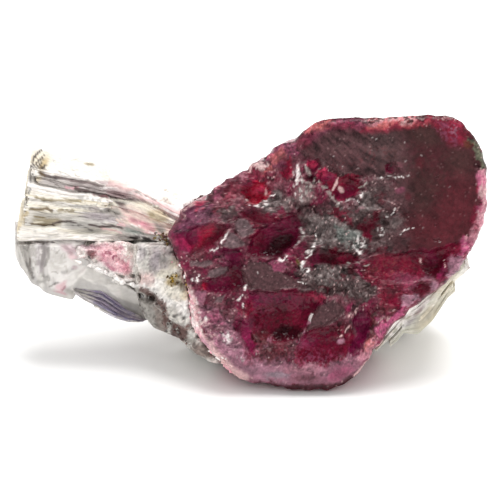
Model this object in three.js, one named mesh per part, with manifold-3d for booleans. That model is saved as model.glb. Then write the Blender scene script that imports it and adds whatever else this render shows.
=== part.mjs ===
// A rubellite tourmaline, broken across its c-axis, on a matrix of white albite that reaches out
// to the left in an arm of bladed cleavelandite, clear quartz, purple lepidolite and a nest of
// pink tourmaline grains. Millimetres, +Z up, the broken face towards -Y.
import * as THREE from "three";
import { ConvexGeometry } from "three/addons/geometries/ConvexGeometry.js";
import { mergeVertices } from "three/addons/utils/BufferGeometryUtils.js";
import Module from "manifold-3d";

const wasm = await Module();
wasm.setup();

// Driving sizes. Every piece is shaped in the crystal's own frame: X to the right, Y up the broken
// face and Z out of it along the c-axis. The whole specimen then leans back by LEAN.
const LEAN = THREE.MathUtils.degToRad(25);
const FACE_RADIUS = 15.1; // from the middle of the face down to its lowest edge
const CRYSTAL_LENGTH = 12.5; // along the c-axis
const RIM = 0.85; // width of the worn rim round the face
const BASE_ROUNDING = 1.8; // how much wider that rim is along the bottom
const STRIA_DEPTH = 0.12; // ridges along the prism, one to every other outline point
const OUTLINE_POINTS = 104;
const BASE_HEIGHT = 14.6; // from the middle of the face down to the base, along the row's Z
const PIT_SHEER = 0.25; // share of a pit's depth that is sheer under its lip
const PIT_FLOOR = 0.55; // width of a pit's floor over the width of its lip
const SEAT = 0.3; // gap between minerals that touch
const HALF_SPACE = 60; // side of the blocks that cut by one plane

// The face's outline, anticlockwise from its right-hand end.
const FACE_OUTLINE = [
  [17.3, 6.4], [17.1, 10.2], [15.9, 13.0], [13.7, 15.0], [12.0, 15.3], [5.5, 15.0],
  [-1.0, 14.7], [-2.9, 13.4], [-4.8, 12.5], [-6.5, 11.3], [-8.0, 10.0], [-10.2, 9.0],
  [-12.2, 7.6], [-13.9, 6.5], [-15.6, 5.4], [-17.0, 4.1], [-17.8, 2.4], [-17.2, 0.4],
  [-16.0, -2.4], [-15.5, -5.2], [-14.9, -8.2], [-13.2, -10.6], [-11.6, -12.3], [-9.6, -13.7],
  [-5.5, -14.6], [-1.2, -FACE_RADIUS], [0.9, -14.6], [3.2, -13.0], [5.0, -10.5], [6.9, -8.1],
  [8.9, -6.0], [11.2, -4.4], [13.6, -2.4], [15.3, 0.0], [16.7, 2.8],
];

// Hollows in the face, where chips came away down to clear red crystal: each one's convex outline,
// where it is deepest, and how deep.
const PITS = [
  {
    outline: [
      [-9.8, 7.8], [-8.6, 8.1], [-7.1, 7.7], [-6.4, 7.0], [-7.6, 5.7], [-8.3, 5.4], [-9.0, 5.6],
      [-9.7, 6.6],
    ],
    deepest: [-8.4, 6.2],
    depth: 1.3,
  },
  {
    outline: [
      [-17.2, 2.0], [-16.5, 2.6], [-12.9, 3.6], [-11.0, 3.1], [-12.8, 0.7], [-14.3, 0.0],
      [-16.2, 0.2], [-17.0, 0.9],
    ],
    deepest: [-13.6, 1.6],
    depth: 1.4,
  },
  {
    outline: [
      [-8.7, 1.5], [-7.5, 2.9], [-3.7, 4.3], [-3.3, 3.5], [-3.4, 2.1], [-5.3, -0.3],
      [-8.4, -0.4], [-8.9, 0.4],
    ],
    deepest: [-5.6, 1.1],
    depth: 2.2,
  },
  {
    outline: [[-9.9, 4.6], [-8.1, 5.0], [-5.4, 3.7], [-6.6, 3.1], [-8.8, 3.5]],
    deepest: [-8.0, 4.0],
    depth: 0.6,
  },
  {
    outline: [
      [-14.3, -3.2], [-13.0, -2.6], [-11.2, -1.5], [-10.1, -0.9], [-9.5, -2.3], [-9.4, -3.4],
      [-11.9, -4.5], [-13.8, -4.1],
    ],
    deepest: [-10.6, -2.9],
    depth: 1.3,
  },
  {
    outline: [[-11.9, 0.4], [-9.9, 0.4], [-9.3, -0.9], [-10.1, -1.8], [-11.4, -1.1]],
    deepest: [-10.4, -0.4],
    depth: 0.7,
  },
  {
    outline: [
      [-8.8, -4.3], [-6.6, -4.0], [-1.3, -4.4], [-0.9, -5.1], [-3.6, -9.2], [-5.0, -9.9],
      [-7.9, -9.2], [-8.8, -7.8], [-9.1, -5.9],
    ],
    deepest: [-4.8, -7.8],
    depth: 2.0,
  },
  {
    outline: [[-10.8, -7.3], [-9.9, -7.2], [-8.8, -7.8], [-8.1, -9.5], [-8.6, -11.4], [-9.6, -10.2]],
    deepest: [-9.0, -9.0],
    depth: 0.9,
  },
  {
    outline: [
      [-3.0, -9.2], [-2.0, -8.0], [0.2, -7.8], [2.4, -9.6], [1.8, -11.4], [-0.6, -12.2],
      [-2.8, -11.9], [-3.9, -10.6],
    ],
    deepest: [-1.2, -9.4],
    depth: 1.0,
  },
  {
    outline: [[-2.4, 10.0], [-1.3, 10.2], [-1.1, 9.4], [-1.7, 8.9], [-2.3, 9.1]],
    deepest: [-1.8, 9.5],
    depth: 0.8,
  },
  {
    outline: [[-1.3, 8.8], [-0.2, 9.2], [3.3, 8.1], [3.7, 7.0], [2.2, 5.9], [0.6, 5.7], [-0.4, 6.8]],
    deepest: [1.6, 6.8],
    depth: 1.2,
  },
  {
    outline: [
      [-2.6, 0.2], [-1.1, 0.6], [1.7, 0.2], [3.1, -0.4], [2.4, -1.2], [-1.3, -1.1],
      [-2.4, -0.7],
    ],
    deepest: [0.0, -0.2],
    depth: 0.9,
  },
  {
    outline: [
      [3.6, -0.5], [6.0, 0.1], [12.6, 0.3], [12.9, -0.9], [11.9, -2.8], [7.2, -3.3],
      [5.5, -3.1], [4.4, -2.3],
    ],
    deepest: [10.0, -0.6],
    depth: 0.9,
  },
  {
    outline: [[10.5, 0.2], [12.9, 0.7], [13.1, -0.9], [12.4, -2.8], [11.4, -2.7], [10.8, -1.5]],
    deepest: [11.8, -0.4],
    depth: 1.6,
  },
  {
    outline: [
      [2.8, -6.5], [4.2, -6.2], [4.5, -7.5], [4.0, -9.5], [3.1, -10.8], [2.1, -11.2],
      [2.1, -9.5],
    ],
    deepest: [3.2, -8.4],
    depth: 1.1,
  },
  {
    outline: [[6.2, 9.9], [7.2, 10.0], [7.6, 9.2], [7.0, 8.7], [6.2, 9.0]],
    deepest: [6.5, 9.4],
    depth: 0.6,
  },
  {
    outline: [[2.9, 3.5], [5.5, 4.7], [5.8, 4.7], [5.5, 3.2], [4.2, 1.3], [3.4, 2.4]],
    deepest: [4.6, 3.2],
    depth: 0.8,
  },
  {
    outline: [[8.8, -4.0], [9.9, -3.3], [11.0, -3.0], [11.1, -4.0], [9.9, -4.7]],
    deepest: [10.0, -3.9],
    depth: 0.7,
  },
  {
    outline: [[-6.0, 10.7], [-4.4, 11.2], [-3.6, 10.5], [-3.9, 8.7], [-5.0, 7.9], [-5.8, 9.0]],
    deepest: [-4.6, 9.2],
    depth: 0.8,
  },
  {
    outline: [[5.5, -4.0], [6.8, -3.7], [7.8, -5.0], [7.2, -6.1], [6.0, -5.6]],
    deepest: [6.6, -4.8],
    depth: 0.6,
  },
];

// Flat-topped plates that stand proud of the face, each with its outline and height.
const PLATES = [
  {
    outline: [
      [-9.9, -0.9], [-8.3, -0.7], [-6.9, -0.9], [-5.5, -2.3], [-3.5, -3.2], [-3.6, -3.9],
      [-5.9, -4.3], [-8.6, -4.0], [-9.6, -2.0],
    ],
    height: 0.55,
  },
  {
    outline: [
      [-2.6, -8.4], [-2.1, -6.6], [-1.3, -5.5], [0.0, -5.2], [1.3, -5.9], [0.9, -6.8],
      [-0.6, -7.8],
    ],
    height: 0.65,
  },
  {
    outline: [[-10.2, 2.6], [-8.8, 2.8], [-8.8, 1.9], [-9.6, 1.5]],
    height: 0.55,
  },
  {
    outline: [[-12.1, 0.8], [-11.4, 1.8], [-9.6, 1.2], [-9.9, 0.5]],
    height: 0.5,
  },
  {
    outline: [
      [-8.5, 5.2], [-7.1, 6.0], [-6.0, 6.7], [-4.4, 6.5], [-3.3, 5.2], [-3.5, 4.4], [-6.0, 4.2],
      [-7.7, 4.6],
    ],
    height: 0.5,
  },
  {
    outline: [
      [-4.0, 5.9], [-3.9, 8.1], [-3.5, 9.7], [-2.6, 10.0], [-0.6, 7.6], [0.0, 6.3], [-1.7, 5.4],
    ],
    height: 0.5,
  },
  {
    outline: [[-3.2, 3.5], [-2.2, 4.5], [1.7, 3.3], [2.6, 2.1], [2.4, 0.8], [-2.2, 0.4], [-3.0, 1.5]],
    height: 0.45,
  },
  {
    outline: [
      [2.9, 8.1], [4.4, 9.0], [6.4, 8.4], [7.5, 7.0], [7.7, 5.4], [6.0, 4.8], [3.3, 4.6],
      [2.2, 5.7],
    ],
    height: 0.4,
  },
  {
    outline: [[6.0, 3.5], [7.3, 4.4], [8.5, 3.7], [8.6, 1.8], [6.5, 2.0]],
    height: 0.5,
  },
  {
    outline: [[-3.1, -1.8], [0.0, -1.3], [3.3, -1.8], [5.0, -3.3], [1.5, -3.9], [-3.0, -3.1]],
    height: 0.5,
  },
  {
    outline: [[1.6, -3.4], [5.0, -3.3], [5.3, -5.1], [4.2, -5.9], [2.4, -5.1]],
    height: 0.4,
  },
  {
    outline: [[0.2, -8.8], [1.6, -7.8], [2.4, -8.6], [1.3, -10.0], [0.4, -10.0]],
    height: 0.2,
  },
  {
    outline: [[7.7, -4.7], [8.6, -4.1], [9.6, -4.7], [8.8, -5.7], [7.7, -6.2], [6.9, -5.8]],
    height: 0.35,
  },
  {
    outline: [[-15.1, -4.6], [-14.4, -3.6], [-13.2, -4.1], [-13.5, -5.5], [-14.8, -5.4]],
    height: 0.3,
  },
  {
    outline: [
      [-13.7, -6.2], [-11.6, -7.0], [-10.3, -8.9], [-9.2, -10.8], [-10.8, -11.6],
      [-12.6, -10.0], [-13.7, -7.8],
    ],
    height: 0.3,
  },
  {
    outline: [[-16.0, 4.1], [-14.3, 5.0], [-10.5, 5.4], [-11.0, 3.9], [-14.3, 3.3]],
    height: 0.3,
  },
];

// The smooth part of the face is one wide table, a step above the broken part.
const TABLE = [
  [-0.9, 14.0], [12.1, 14.1], [15.2, 12.7], [16.1, 10.3], [16.3, 6.5], [15.5, 3.2], [14.3, 1.5],
  [12.4, 0.8], [10.5, 0.3], [8.6, 0.4], [8.6, 2.9], [7.9, 5.4], [7.1, 8.1], [3.8, 8.6],
  [1.1, 9.2], [-1.3, 10.3], [-2.9, 11.4], [-2.6, 12.5],
];
const TABLE_HEIGHT = 0.35;

// A repeatable source of numbers from 0 to 1.
function dice(seed) {
  let state = seed >>> 0;
  return () => {
    state = (state + 0x6d2b79f5) >>> 0;
    let t = Math.imul(state ^ (state >>> 15), 1 | state);
    t = (t + Math.imul(t ^ (t >>> 7), 61 | t)) ^ t;
    return ((t ^ (t >>> 14)) >>> 0) / 4294967296;
  };
}

// A closed three.js geometry as a solid that can be joined and cut.
function solid(geometry) {
  const plain = new THREE.BufferGeometry();
  const loose = geometry.index ? geometry.toNonIndexed() : geometry;
  plain.setAttribute("position", loose.getAttribute("position").clone());
  const merged = mergeVertices(plain, 1e-4);
  return new wasm.Manifold(
    new wasm.Mesh({
      numProp: 3,
      vertProperties: new Float32Array(merged.attributes.position.array),
      triVerts: new Uint32Array(merged.index.array),
    }),
  );
}

// A solid as a geometry with flat-shaded faces.
function faceted(body) {
  const mesh = body.getMesh();
  const geometry = new THREE.BufferGeometry();
  geometry.setAttribute("position", new THREE.BufferAttribute(mesh.vertProperties, 3));
  geometry.setIndex(new THREE.BufferAttribute(mesh.triVerts, 1));
  const flat = geometry.toNonIndexed();
  flat.computeVertexNormals();
  return flat;
}

const join = (bodies) => bodies.reduce((whole, body) => whole.add(body));
const cut = (body, tools) => tools.reduce((left, tool) => left.subtract(tool), body);

// The largest connected body, without the crumbs that a cut can leave.
const largest = (body) =>
  body.decompose().reduce((best, piece) => (piece.volume() > best.volume() ? piece : best));

// The convex solid round some points, with grow left on every side of it.
function hull(points, grow = 0) {
  const steps = grow ? [-grow, grow] : [0];
  const corners = points.flatMap(([x, y, z]) =>
    steps.flatMap((dx) =>
      steps.flatMap((dy) => steps.map((dz) => new THREE.Vector3(x + dx, y + dy, z + dz))),
    ),
  );
  return solid(new ConvexGeometry(corners));
}

// A cleavage block: the hull of points spread over a squashed ball, squared off towards a box.
function chunk({ at, half, seed, turn = 0, corners = 16 }, grow = 0) {
  const random = dice(seed);
  const spin = new THREE.Matrix4().makeRotationZ(THREE.MathUtils.degToRad(turn));
  const golden = Math.PI * (3 - Math.sqrt(5));
  const squared = (value) => Math.sign(value) * Math.abs(value) ** 0.65;
  const points = [];
  for (let i = 0; i < corners; i += 1) {
    const height = 1 - (2 * i + 1) / corners + 0.22 * (random() - 0.5);
    const level = THREE.MathUtils.clamp(height, -1, 1);
    const round = Math.sqrt(1 - level * level);
    const angle = golden * i + 0.9 * random();
    const swell = 0.88 + 0.24 * random();
    const p = new THREE.Vector3(
      half[0] * swell * squared(round * Math.cos(angle)),
      half[1] * swell * squared(round * Math.sin(angle)),
      half[2] * swell * squared(level),
    ).applyMatrix4(spin);
    points.push([p.x + at[0], p.y + at[1], p.z + at[2]]);
  }
  return hull(points, grow);
}

// The middle of a ring of [x, y] points.
const centre = (ring) => [0, 1].map((axis) => ring.reduce((sum, p) => sum + p[axis], 0) / ring.length);

// A ring of [x, y] points drawn in or out towards one point.
const drawn = (ring, [x, y], scale) => ring.map((p) => [x + (p[0] - x) * scale, y + (p[1] - y) * scale]);

// A pit's cutter: sheer just under its lip, then sloping in to an uneven floor.
function pit({ outline, deepest, depth }, seed) {
  const random = dice(seed);
  const floor = drawn(outline, deepest, PIT_FLOOR);
  return hull([
    ...drawn(outline, deepest, 1.04).map((p) => [...p, 1.2]),
    ...outline.map((p) => [...p, -PIT_SHEER * depth]),
    ...floor.map((p) => [...p, -depth * (0.75 + 0.25 * random())]),
    [...deepest, -depth * 1.05],
  ]);
}

// A plate: steep sides and a flat top that tips a little.
function plate({ outline, height }, seed) {
  const random = dice(seed);
  const middle = centre(outline);
  const [tiltX, tiltY] = [0.08 * (random() - 0.5), 0.08 * (random() - 0.5)];
  const raised = ([x, y]) => height + tiltX * (x - middle[0]) + tiltY * (y - middle[1]);
  return hull([
    ...drawn(outline, middle, 1.04).map((p) => [...p, -1.5]),
    ...outline.map((p) => [...p, raised(p)]),
  ]);
}

// The table: its outline, extruded square to the face.
function table() {
  const shape = new THREE.Shape(TABLE.map(([x, y]) => new THREE.Vector2(x, y)));
  const slab = new THREE.ExtrudeGeometry(shape, { depth: 1 + TABLE_HEIGHT, bevelEnabled: false });
  slab.translate(0, 0, -1);
  return solid(slab);
}

// The face's outline as evenly spaced points on a smooth closed curve, with the prism's ridges.
function outlinePoints(grow) {
  const random = dice(7);
  const corners = FACE_OUTLINE.map(([x, y]) => new THREE.Vector3(x, y, 0));
  const curve = new THREE.CatmullRomCurve3(corners, true, "centripetal");
  return curve.getSpacedPoints(OUTLINE_POINTS).slice(0, OUTLINE_POINTS).map((p, i) => {
    const reach = p.length();
    const stria = (i % 2 ? 1 : -1) * STRIA_DEPTH * random();
    return p.multiplyScalar((reach + grow + stria) / reach);
  });
}

// A closed solid through rings of points, each with as many points, and a fan over each end.
function loft(rings) {
  const count = rings[0].length;
  const middleOf = (ring) =>
    ring.reduce((sum, p) => sum.add(p), new THREE.Vector3()).divideScalar(count);
  const points = [...rings.flat(), middleOf(rings[0]), middleOf(rings.at(-1))];
  const first = rings.length * count;
  const index = [];
  for (let i = 0; i < count; i += 1) {
    const next = (i + 1) % count;
    for (let r = 0; r + 1 < rings.length; r += 1) {
      const [a, b] = [r * count + i, r * count + next];
      index.push(a, b, b + count, a, b + count, a + count);
    }
    const last = (rings.length - 1) * count;
    index.push(first, next, i, first + 1, last + i, last + next);
  }
  return solid(new THREE.BufferGeometry().setFromPoints(points).setIndex(index));
}

// The tourmaline's prism. The rim of its face is worn round, and widest along the bottom.
function prism(grow = 0) {
  const outline = outlinePoints(grow);
  const ring = (z, inset) =>
    outline.map((p) => {
      const low = THREE.MathUtils.smoothstep(-p.y, FACE_RADIUS * 0.72, FACE_RADIUS);
      const near = inset * RIM * (z > -CRYSTAL_LENGTH / 2 ? 1 + BASE_ROUNDING * low : 1);
      const scale = 1 - near / p.length();
      return new THREE.Vector3(p.x * scale, p.y * scale, z);
    });
  const back = -CRYSTAL_LENGTH - grow;
  return loft([
    ring(back, grow ? 0 : 4.5),
    ring(back + 1.0, grow ? 0 : 1.2),
    ring(back + 2.6, 0),
    ring(-1.7, 0),
    ring(-0.8 + grow, grow ? 0 : 0.25),
    ring(-0.25 + grow, grow ? 0 : 0.65),
    ring(grow, grow ? 0 : 1.3),
  ]);
}

// A block whose one face lies through a point, square to a normal, and takes off all beyond it.
function beyond(point, normal) {
  const out = new THREE.Vector3(...normal).normalize();
  const block = new THREE.BoxGeometry(HALF_SPACE, HALF_SPACE, HALF_SPACE);
  block.translate(0, 0, HALF_SPACE / 2);
  block.applyQuaternion(
    new THREE.Quaternion().setFromUnitVectors(new THREE.Vector3(0, 0, 1), out),
  );
  block.translate(...point);
  return solid(block);
}

// Everything below the base, as the leaning crystal's frame sees it.
const underBase = () =>
  beyond(
    [0, -BASE_HEIGHT * Math.cos(LEAN), -BASE_HEIGHT * Math.sin(LEAN)],
    [0, -Math.cos(LEAN), -Math.sin(LEAN)],
  );

// Small chips over the broken middle of the face, some raised and some sunk.
function chips() {
  const random = dice(41);
  return Array.from({ length: 26 }, () => {
    const at = [-7 + 14 * random(), -6 + 15 * random()];
    const size = 0.35 + 0.45 * random();
    const turn = 2 * Math.PI * random();
    const outline = [0, 1.3, 2.6, 3.7, 5.1].map((angle) => [
      at[0] + 1.3 * size * Math.cos(angle + turn),
      at[1] + 0.8 * size * Math.sin(angle + turn),
    ]);
    return { outline, deepest: at, depth: 0.35 + 0.4 * random(), height: 0.4 + 0.35 * random() };
  });
}

function tourmaline() {
  const loose = chips();
  const raised = loose.filter((_, i) => i % 2);
  const sunk = loose.filter((_, i) => i % 2 === 0);
  const upperLeftSlope = beyond([-9.4, 7.4, 0], [-0.2, 0.28, 1]);
  const lowerRightSlope = beyond([4.6, -7.6, 0.1], [0.16, -0.14, 1]);
  const face = cut(prism(), [upperLeftSlope, lowerRightSlope]);
  const built = join([face, table(), ...PLATES.map(plate), ...raised.map(plate)]);
  const worn = cut(built, [...PITS, ...sunk].map(pit));
  const brokenBack = [
    beyond([3, 10, -CRYSTAL_LENGTH + 1.2], [0.25, 0.35, -1]),
    beyond([-10, 4, -CRYSTAL_LENGTH + 1.6], [-0.45, 0.1, -1]),
  ];
  return largest(cut(worn, [...brokenBack, underBase()]));
}

// The cleavelandite: sheets seen edge-on, stacked from the lowest to the highest and fanned out
// towards their free left ends. Each runs back level with the base.
const SHEETS = 11;
const SHEET_LOWEST = { left: [-34.8, 1.9], right: [-18.6, 1.5], deep: 8.0 };
const SHEET_HIGHEST = { left: [-33.1, 9.7], right: [-22.2, 7.0], deep: 5.0 };
const SHEET_OVERLAP = 1.25; // thickness over spacing, so that the sheets are one body
const SHEET_FRONT = -3.9; // the most forward edge
const SHEET_STEP = 1.3; // how far one edge may stand behind another
const SHEET_BACK = new THREE.Vector3(-0.13, Math.sin(LEAN), -Math.cos(LEAN)).normalize();

function sheet(i, grow) {
  const random = dice(60 + i);
  const t = i / (SHEETS - 1);
  const [low, high] = [SHEET_LOWEST, SHEET_HIGHEST];
  const between = (end, axis) => THREE.MathUtils.lerp(low[end][axis], high[end][axis], t);
  const halfAt = (end) => ((high[end][1] - low[end][1]) / (SHEETS - 1) / 2) * SHEET_OVERLAP;
  const deep = THREE.MathUtils.lerp(low.deep, high.deep, t) * (0.94 + 0.12 * random());
  const setBack = SHEET_STEP * random();
  const freeEnd = 0.9 * random() - 0.45;
  const points = [0, 0.35, 0.7, 1].flatMap((along) => {
    const x = THREE.MathUtils.lerp(between("left", 0) + freeEnd, between("right", 0), along);
    const y = THREE.MathUtils.lerp(between("left", 1), between("right", 1), along);
    const half = THREE.MathUtils.lerp(halfAt("left"), halfAt("right"), along);
    const z = SHEET_FRONT - setBack - 1.2 * along - 0.3 * random();
    const back = SHEET_BACK.clone().multiplyScalar(deep);
    return [
      [x, y + half * 0.7, z],
      [x, y - half * 0.7, z],
      [x, y + half, z - 0.35],
      [x, y - half, z - 0.35],
      [x + back.x, y + back.y + half, z + back.z],
      [x + back.x, y + back.y - half, z + back.z],
    ];
  });
  return hull(points, grow);
}

const cleavelandite = (grow = 0) =>
  join(Array.from({ length: SHEETS }, (_, i) => sheet(i, grow)));

// Clear quartz under the blades: a striated end, and a shard with one wide smooth face.
const QUARTZ_END = [
  [-34.8, 1.0, -3.9], [-35.1, 0.0, -4.6], [-34.3, -1.6, -4.3], [-32.9, -3.5, -4.6],
  [-31.0, -4.6, -5.2], [-28.6, -5.2, -6.4], [-30.0, 0.9, -3.6], [-29.0, -2.4, -3.5],
  [-26.6, -1.0, -4.0], [-35.4, 3.8, -11.2], [-34.6, -0.4, -11.6], [-31.0, -2.2, -12.2],
  [-27.2, -1.4, -12.0], [-27.6, 3.4, -11.4],
];
const QUARTZ_SHARD = [
  [-28.9, -0.2, -3.9], [-24.4, -2.4, -4.4], [-21.4, -4.2, -5.2], [-20.2, -7.5, -7.4],
  [-23.2, -5.9, -6.3], [-26.0, -4.3, -5.4], [-28.8, -4.0, -5.0], [-28.6, -1.6, -11.6],
  [-20.6, -2.4, -11.4], [-20.4, -5.0, -11.8], [-26.0, -2.6, -12.4],
];

// Upright ridges on the quartz's end.
function quartzStriae(grow) {
  return Array.from({ length: 6 }, (_, i) => {
    const x = -34.5 + 0.78 * i;
    const lean = 0.16 * i;
    return hull(
      [
        [x - 0.3, 0.95, -4.4],
        [x, 0.95, -3.55 + 0.06 * (i % 3)],
        [x + 0.3, 0.95, -4.4],
        [x + 0.5 - lean, -1.5 - 0.4 * i, -4.9],
        [x + 0.8 - lean, -1.5 - 0.4 * i, -3.9],
        [x + 1.1 - lean, -1.5 - 0.4 * i, -4.9],
        [x, 0, -8],
      ],
      grow,
    );
  });
}

const quartz = (grow = 0) =>
  join([hull(QUARTZ_END, grow), hull(QUARTZ_SHARD, grow), ...quartzStriae(grow)]);

// Lepidolite: a sheaf of thin plates along the underside of the quartz.
function lepidolite(grow = 0) {
  return join(
    Array.from({ length: 8 }, (_, i) => {
      const random = dice(90 + i);
      const across = i / 7;
      const start = [-28.9 + 0.5 * across + 0.5 * random(), -4.1 - 0.35 * across, -4.9 - 3.4 * across];
      const middle = [-25.2 + 0.4 * random(), -6.3 - 0.7 * Math.sin(Math.PI * across), -5.6 - 3.6 * across];
      const tip = [-20.9 - 0.4 * random(), -7.9 - 0.2 * across, -7.4 - 2.6 * across];
      const thick = 0.42;
      return hull(
        [start, middle, tip].flatMap(([x, y, z]) => [
          [x, y + 0.95, z + thick],
          [x, y + 0.95, z - thick],
          [x + 0.1, y - 0.25, z + 0.2 * thick],
          [x + 0.1, y - 0.25, z - thick],
        ]),
        grow,
      );
    }),
  );
}

// A nest of small pink tourmaline grains between the blades and the quartz.
const NEST = [
  { at: [-25.6, -0.1, -4.4], half: [1.2, 0.9, 1.1], seed: 1 },
  { at: [-24.3, -0.3, -4.2], half: [1.2, 1.1, 1.2], seed: 2 },
  { at: [-23.0, -0.1, -4.5], half: [1.1, 1.0, 1.2], seed: 3 },
  { at: [-24.7, -1.2, -4.3], half: [1.1, 0.7, 1.0], seed: 4 },
  { at: [-23.4, -1.6, -4.3], half: [1.2, 0.9, 1.2], seed: 5 },
  { at: [-22.2, -1.2, -4.7], half: [0.8, 1.2, 1.1], seed: 6 },
  { at: [-27.0, 0.3, -4.7], half: [1.1, 0.5, 0.9], seed: 7 },
];
const nest = (grow = 0) => join(NEST.map((spec) => chunk({ ...spec, corners: 12 }, grow)));

// The albite: cleavage blocks grown together, from the arm on the left to the mass that the
// crystal stands in.
const ALBITE = [
  // the mass behind the crystal
  { at: [-1.0, -4.4, -15.0], half: [12.5, 8.4, 7.4], seed: 11, corners: 26 },
  { at: [6.2, -2.4, -13.6], half: [7.6, 7.0, 7.0], seed: 12, corners: 22 },
  { at: [-9.5, -2.6, -14.0], half: [6.8, 8.4, 6.6], seed: 13, corners: 22 },
  { at: [0.5, -1.2, -19.5], half: [9.0, 5.4, 4.2], seed: 14, corners: 20, turn: 12 },
  { at: [-6.0, 3.2, -16.6], half: [5.2, 4.0, 4.4], seed: 15, turn: -20 },
  { at: [5.4, 3.2, -16.0], half: [4.8, 4.0, 3.6], seed: 16, turn: 24 },
  // the edge that shows past the crystal's lower right side
  { at: [12.8, -3.0, -8.0], half: [3.6, 2.4, 4.4], seed: 17, turn: 42 },
  { at: [12.6, -2.2, -11.0], half: [3.0, 2.8, 4.2], seed: 18, turn: 30 },
  { at: [10.0, -6.4, -8.4], half: [3.6, 2.8, 4.6], seed: 19, turn: 48 },
  { at: [7.2, -9.2, -6.6], half: [2.8, 2.6, 4.0], seed: 20, turn: 46 },
  { at: [10.9, -6.4, -4.6], half: [3.2, 1.1, 2.2], seed: 21, turn: 44 },
  // the neck, and the lumps along its lower edge
  { at: [-16.8, -1.6, -6.6], half: [4.6, 4.6, 4.8], seed: 22, corners: 20 },
  { at: [-18.8, -0.6, -5.4], half: [3.2, 3.4, 3.4], seed: 23 },
  { at: [-16.2, -5.2, -5.0], half: [3.0, 3.0, 3.8], seed: 24, turn: -30 },
  { at: [-19.2, -7.2, -7.0], half: [2.2, 2.8, 2.8], seed: 25, turn: 18 },
  { at: [-17.2, -7.4, -6.4], half: [1.6, 2.1, 2.6], seed: 26 },
  { at: [-15.4, -9.0, -6.0], half: [1.8, 1.9, 3.0], seed: 27 },
  { at: [-13.8, -11.0, -5.2], half: [2.3, 1.6, 2.8], seed: 28, turn: -15 },
  { at: [-13.2, -8.6, -8.4], half: [4.0, 4.0, 4.2], seed: 29 },
  // the shoulder between the blades and the crystal
  { at: [-18.4, 4.6, -7.4], half: [3.4, 1.9, 2.8], seed: 30, turn: -32 },
  { at: [-17.0, 2.2, -5.6], half: [1.8, 2.2, 2.6], seed: 31, turn: -35 },
  { at: [-18.2, 4.8, -10.6], half: [4.8, 3.2, 4.0], seed: 32, turn: -26 },
  { at: [-14.4, 3.0, -12.4], half: [4.6, 4.0, 4.6], seed: 33 },
  // the arm's core, behind the blades and the quartz
  { at: [-23.8, 0.6, -9.2], half: [5.6, 3.4, 3.8], seed: 34, corners: 20 },
  { at: [-22.4, 5.6, -10.6], half: [4.0, 3.2, 3.4], seed: 35 },
];

function albite() {
  const mass = join(ALBITE.map((spec) => chunk(spec)));
  const seats = [prism(SEAT), cleavelandite(SEAT), quartz(SEAT), lepidolite(SEAT), nest(SEAT)];
  return largest(cut(mass, [...seats, underBase()]));
}

const STONE = { roughness: 0.6, metalness: 0 };
const FINISHES = {
  rubellite: { color: 0x6e1836, roughness: 0.35, metalness: 0 },
  albite: { color: 0xe9e4dc, ...STONE },
  cleavelandite: { color: 0xe6dfcf, ...STONE },
  quartz: { color: 0xc9c7c6, roughness: 0.15, metalness: 0 },
  lepidolite: { color: 0x8a83a8, ...STONE },
  pink_tourmaline: { color: 0xd79aa4, ...STONE },
};

function piece(name, body, finish) {
  const mesh = new THREE.Mesh(faceted(body), new THREE.MeshStandardMaterial(FINISHES[finish]));
  mesh.name = name;
  return mesh;
}

const specimen = new THREE.Group();
specimen.add(
  piece("tourmaline_crystal", tourmaline(), "rubellite"),
  piece("albite_matrix", albite(), "albite"),
  piece("cleavelandite_blades", cleavelandite(), "cleavelandite"),
  piece("quartz", largest(cut(quartz(), [cleavelandite(SEAT)])), "quartz"),
  piece("lepidolite_sheaf", largest(cut(lepidolite(), [quartz(SEAT)])), "lepidolite"),
  piece(
    "pink_tourmaline_nest",
    largest(cut(nest(), [cleavelandite(SEAT), quartz(SEAT)])),
    "pink_tourmaline",
  ),
);

// The specimen leans back on its base, with the origin under the middle of its box.
specimen.rotation.x = Math.PI / 2 - LEAN;
specimen.updateMatrixWorld(true);
const box = new THREE.Box3().setFromObject(specimen, true);
const middle = box.getCenter(new THREE.Vector3());
specimen.position.set(-middle.x, -middle.y, -box.min.z);

export default specimen;
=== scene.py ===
"""Looks for the tourmaline specimen: a rubellite crystal on albite, cleavelandite, quartz and lepidolite."""

import itertools
import math

import bmesh
import bpy
import numpy as np
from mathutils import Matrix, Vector
from mathutils.bvhtree import BVHTree


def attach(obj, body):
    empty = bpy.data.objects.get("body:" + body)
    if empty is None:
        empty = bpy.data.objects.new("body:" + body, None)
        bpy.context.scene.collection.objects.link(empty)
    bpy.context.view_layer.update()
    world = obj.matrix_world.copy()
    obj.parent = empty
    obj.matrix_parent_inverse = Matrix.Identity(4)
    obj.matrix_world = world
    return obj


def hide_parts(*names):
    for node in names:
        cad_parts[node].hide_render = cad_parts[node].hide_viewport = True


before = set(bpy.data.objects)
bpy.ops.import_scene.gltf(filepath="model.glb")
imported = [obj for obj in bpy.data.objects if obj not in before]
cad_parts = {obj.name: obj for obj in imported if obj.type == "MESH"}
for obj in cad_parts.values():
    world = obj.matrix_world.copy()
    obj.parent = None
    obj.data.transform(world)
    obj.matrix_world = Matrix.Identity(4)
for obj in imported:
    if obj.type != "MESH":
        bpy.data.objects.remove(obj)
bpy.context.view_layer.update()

# Shapes are worked out in millimetres in the crystal's own frame: u to the right across the broken
# face, v up it and w out of it. FACE_MIDDLE is that frame's origin in the row's frame.
MM = 0.001
LEAN = math.radians(25)
FACE_MIDDLE = np.array([9.347, -8.328, 14.6])
LEVEL_BACK = np.array([0.0, math.sin(LEAN), -math.cos(LEAN)])  # level, away from the viewer

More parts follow.
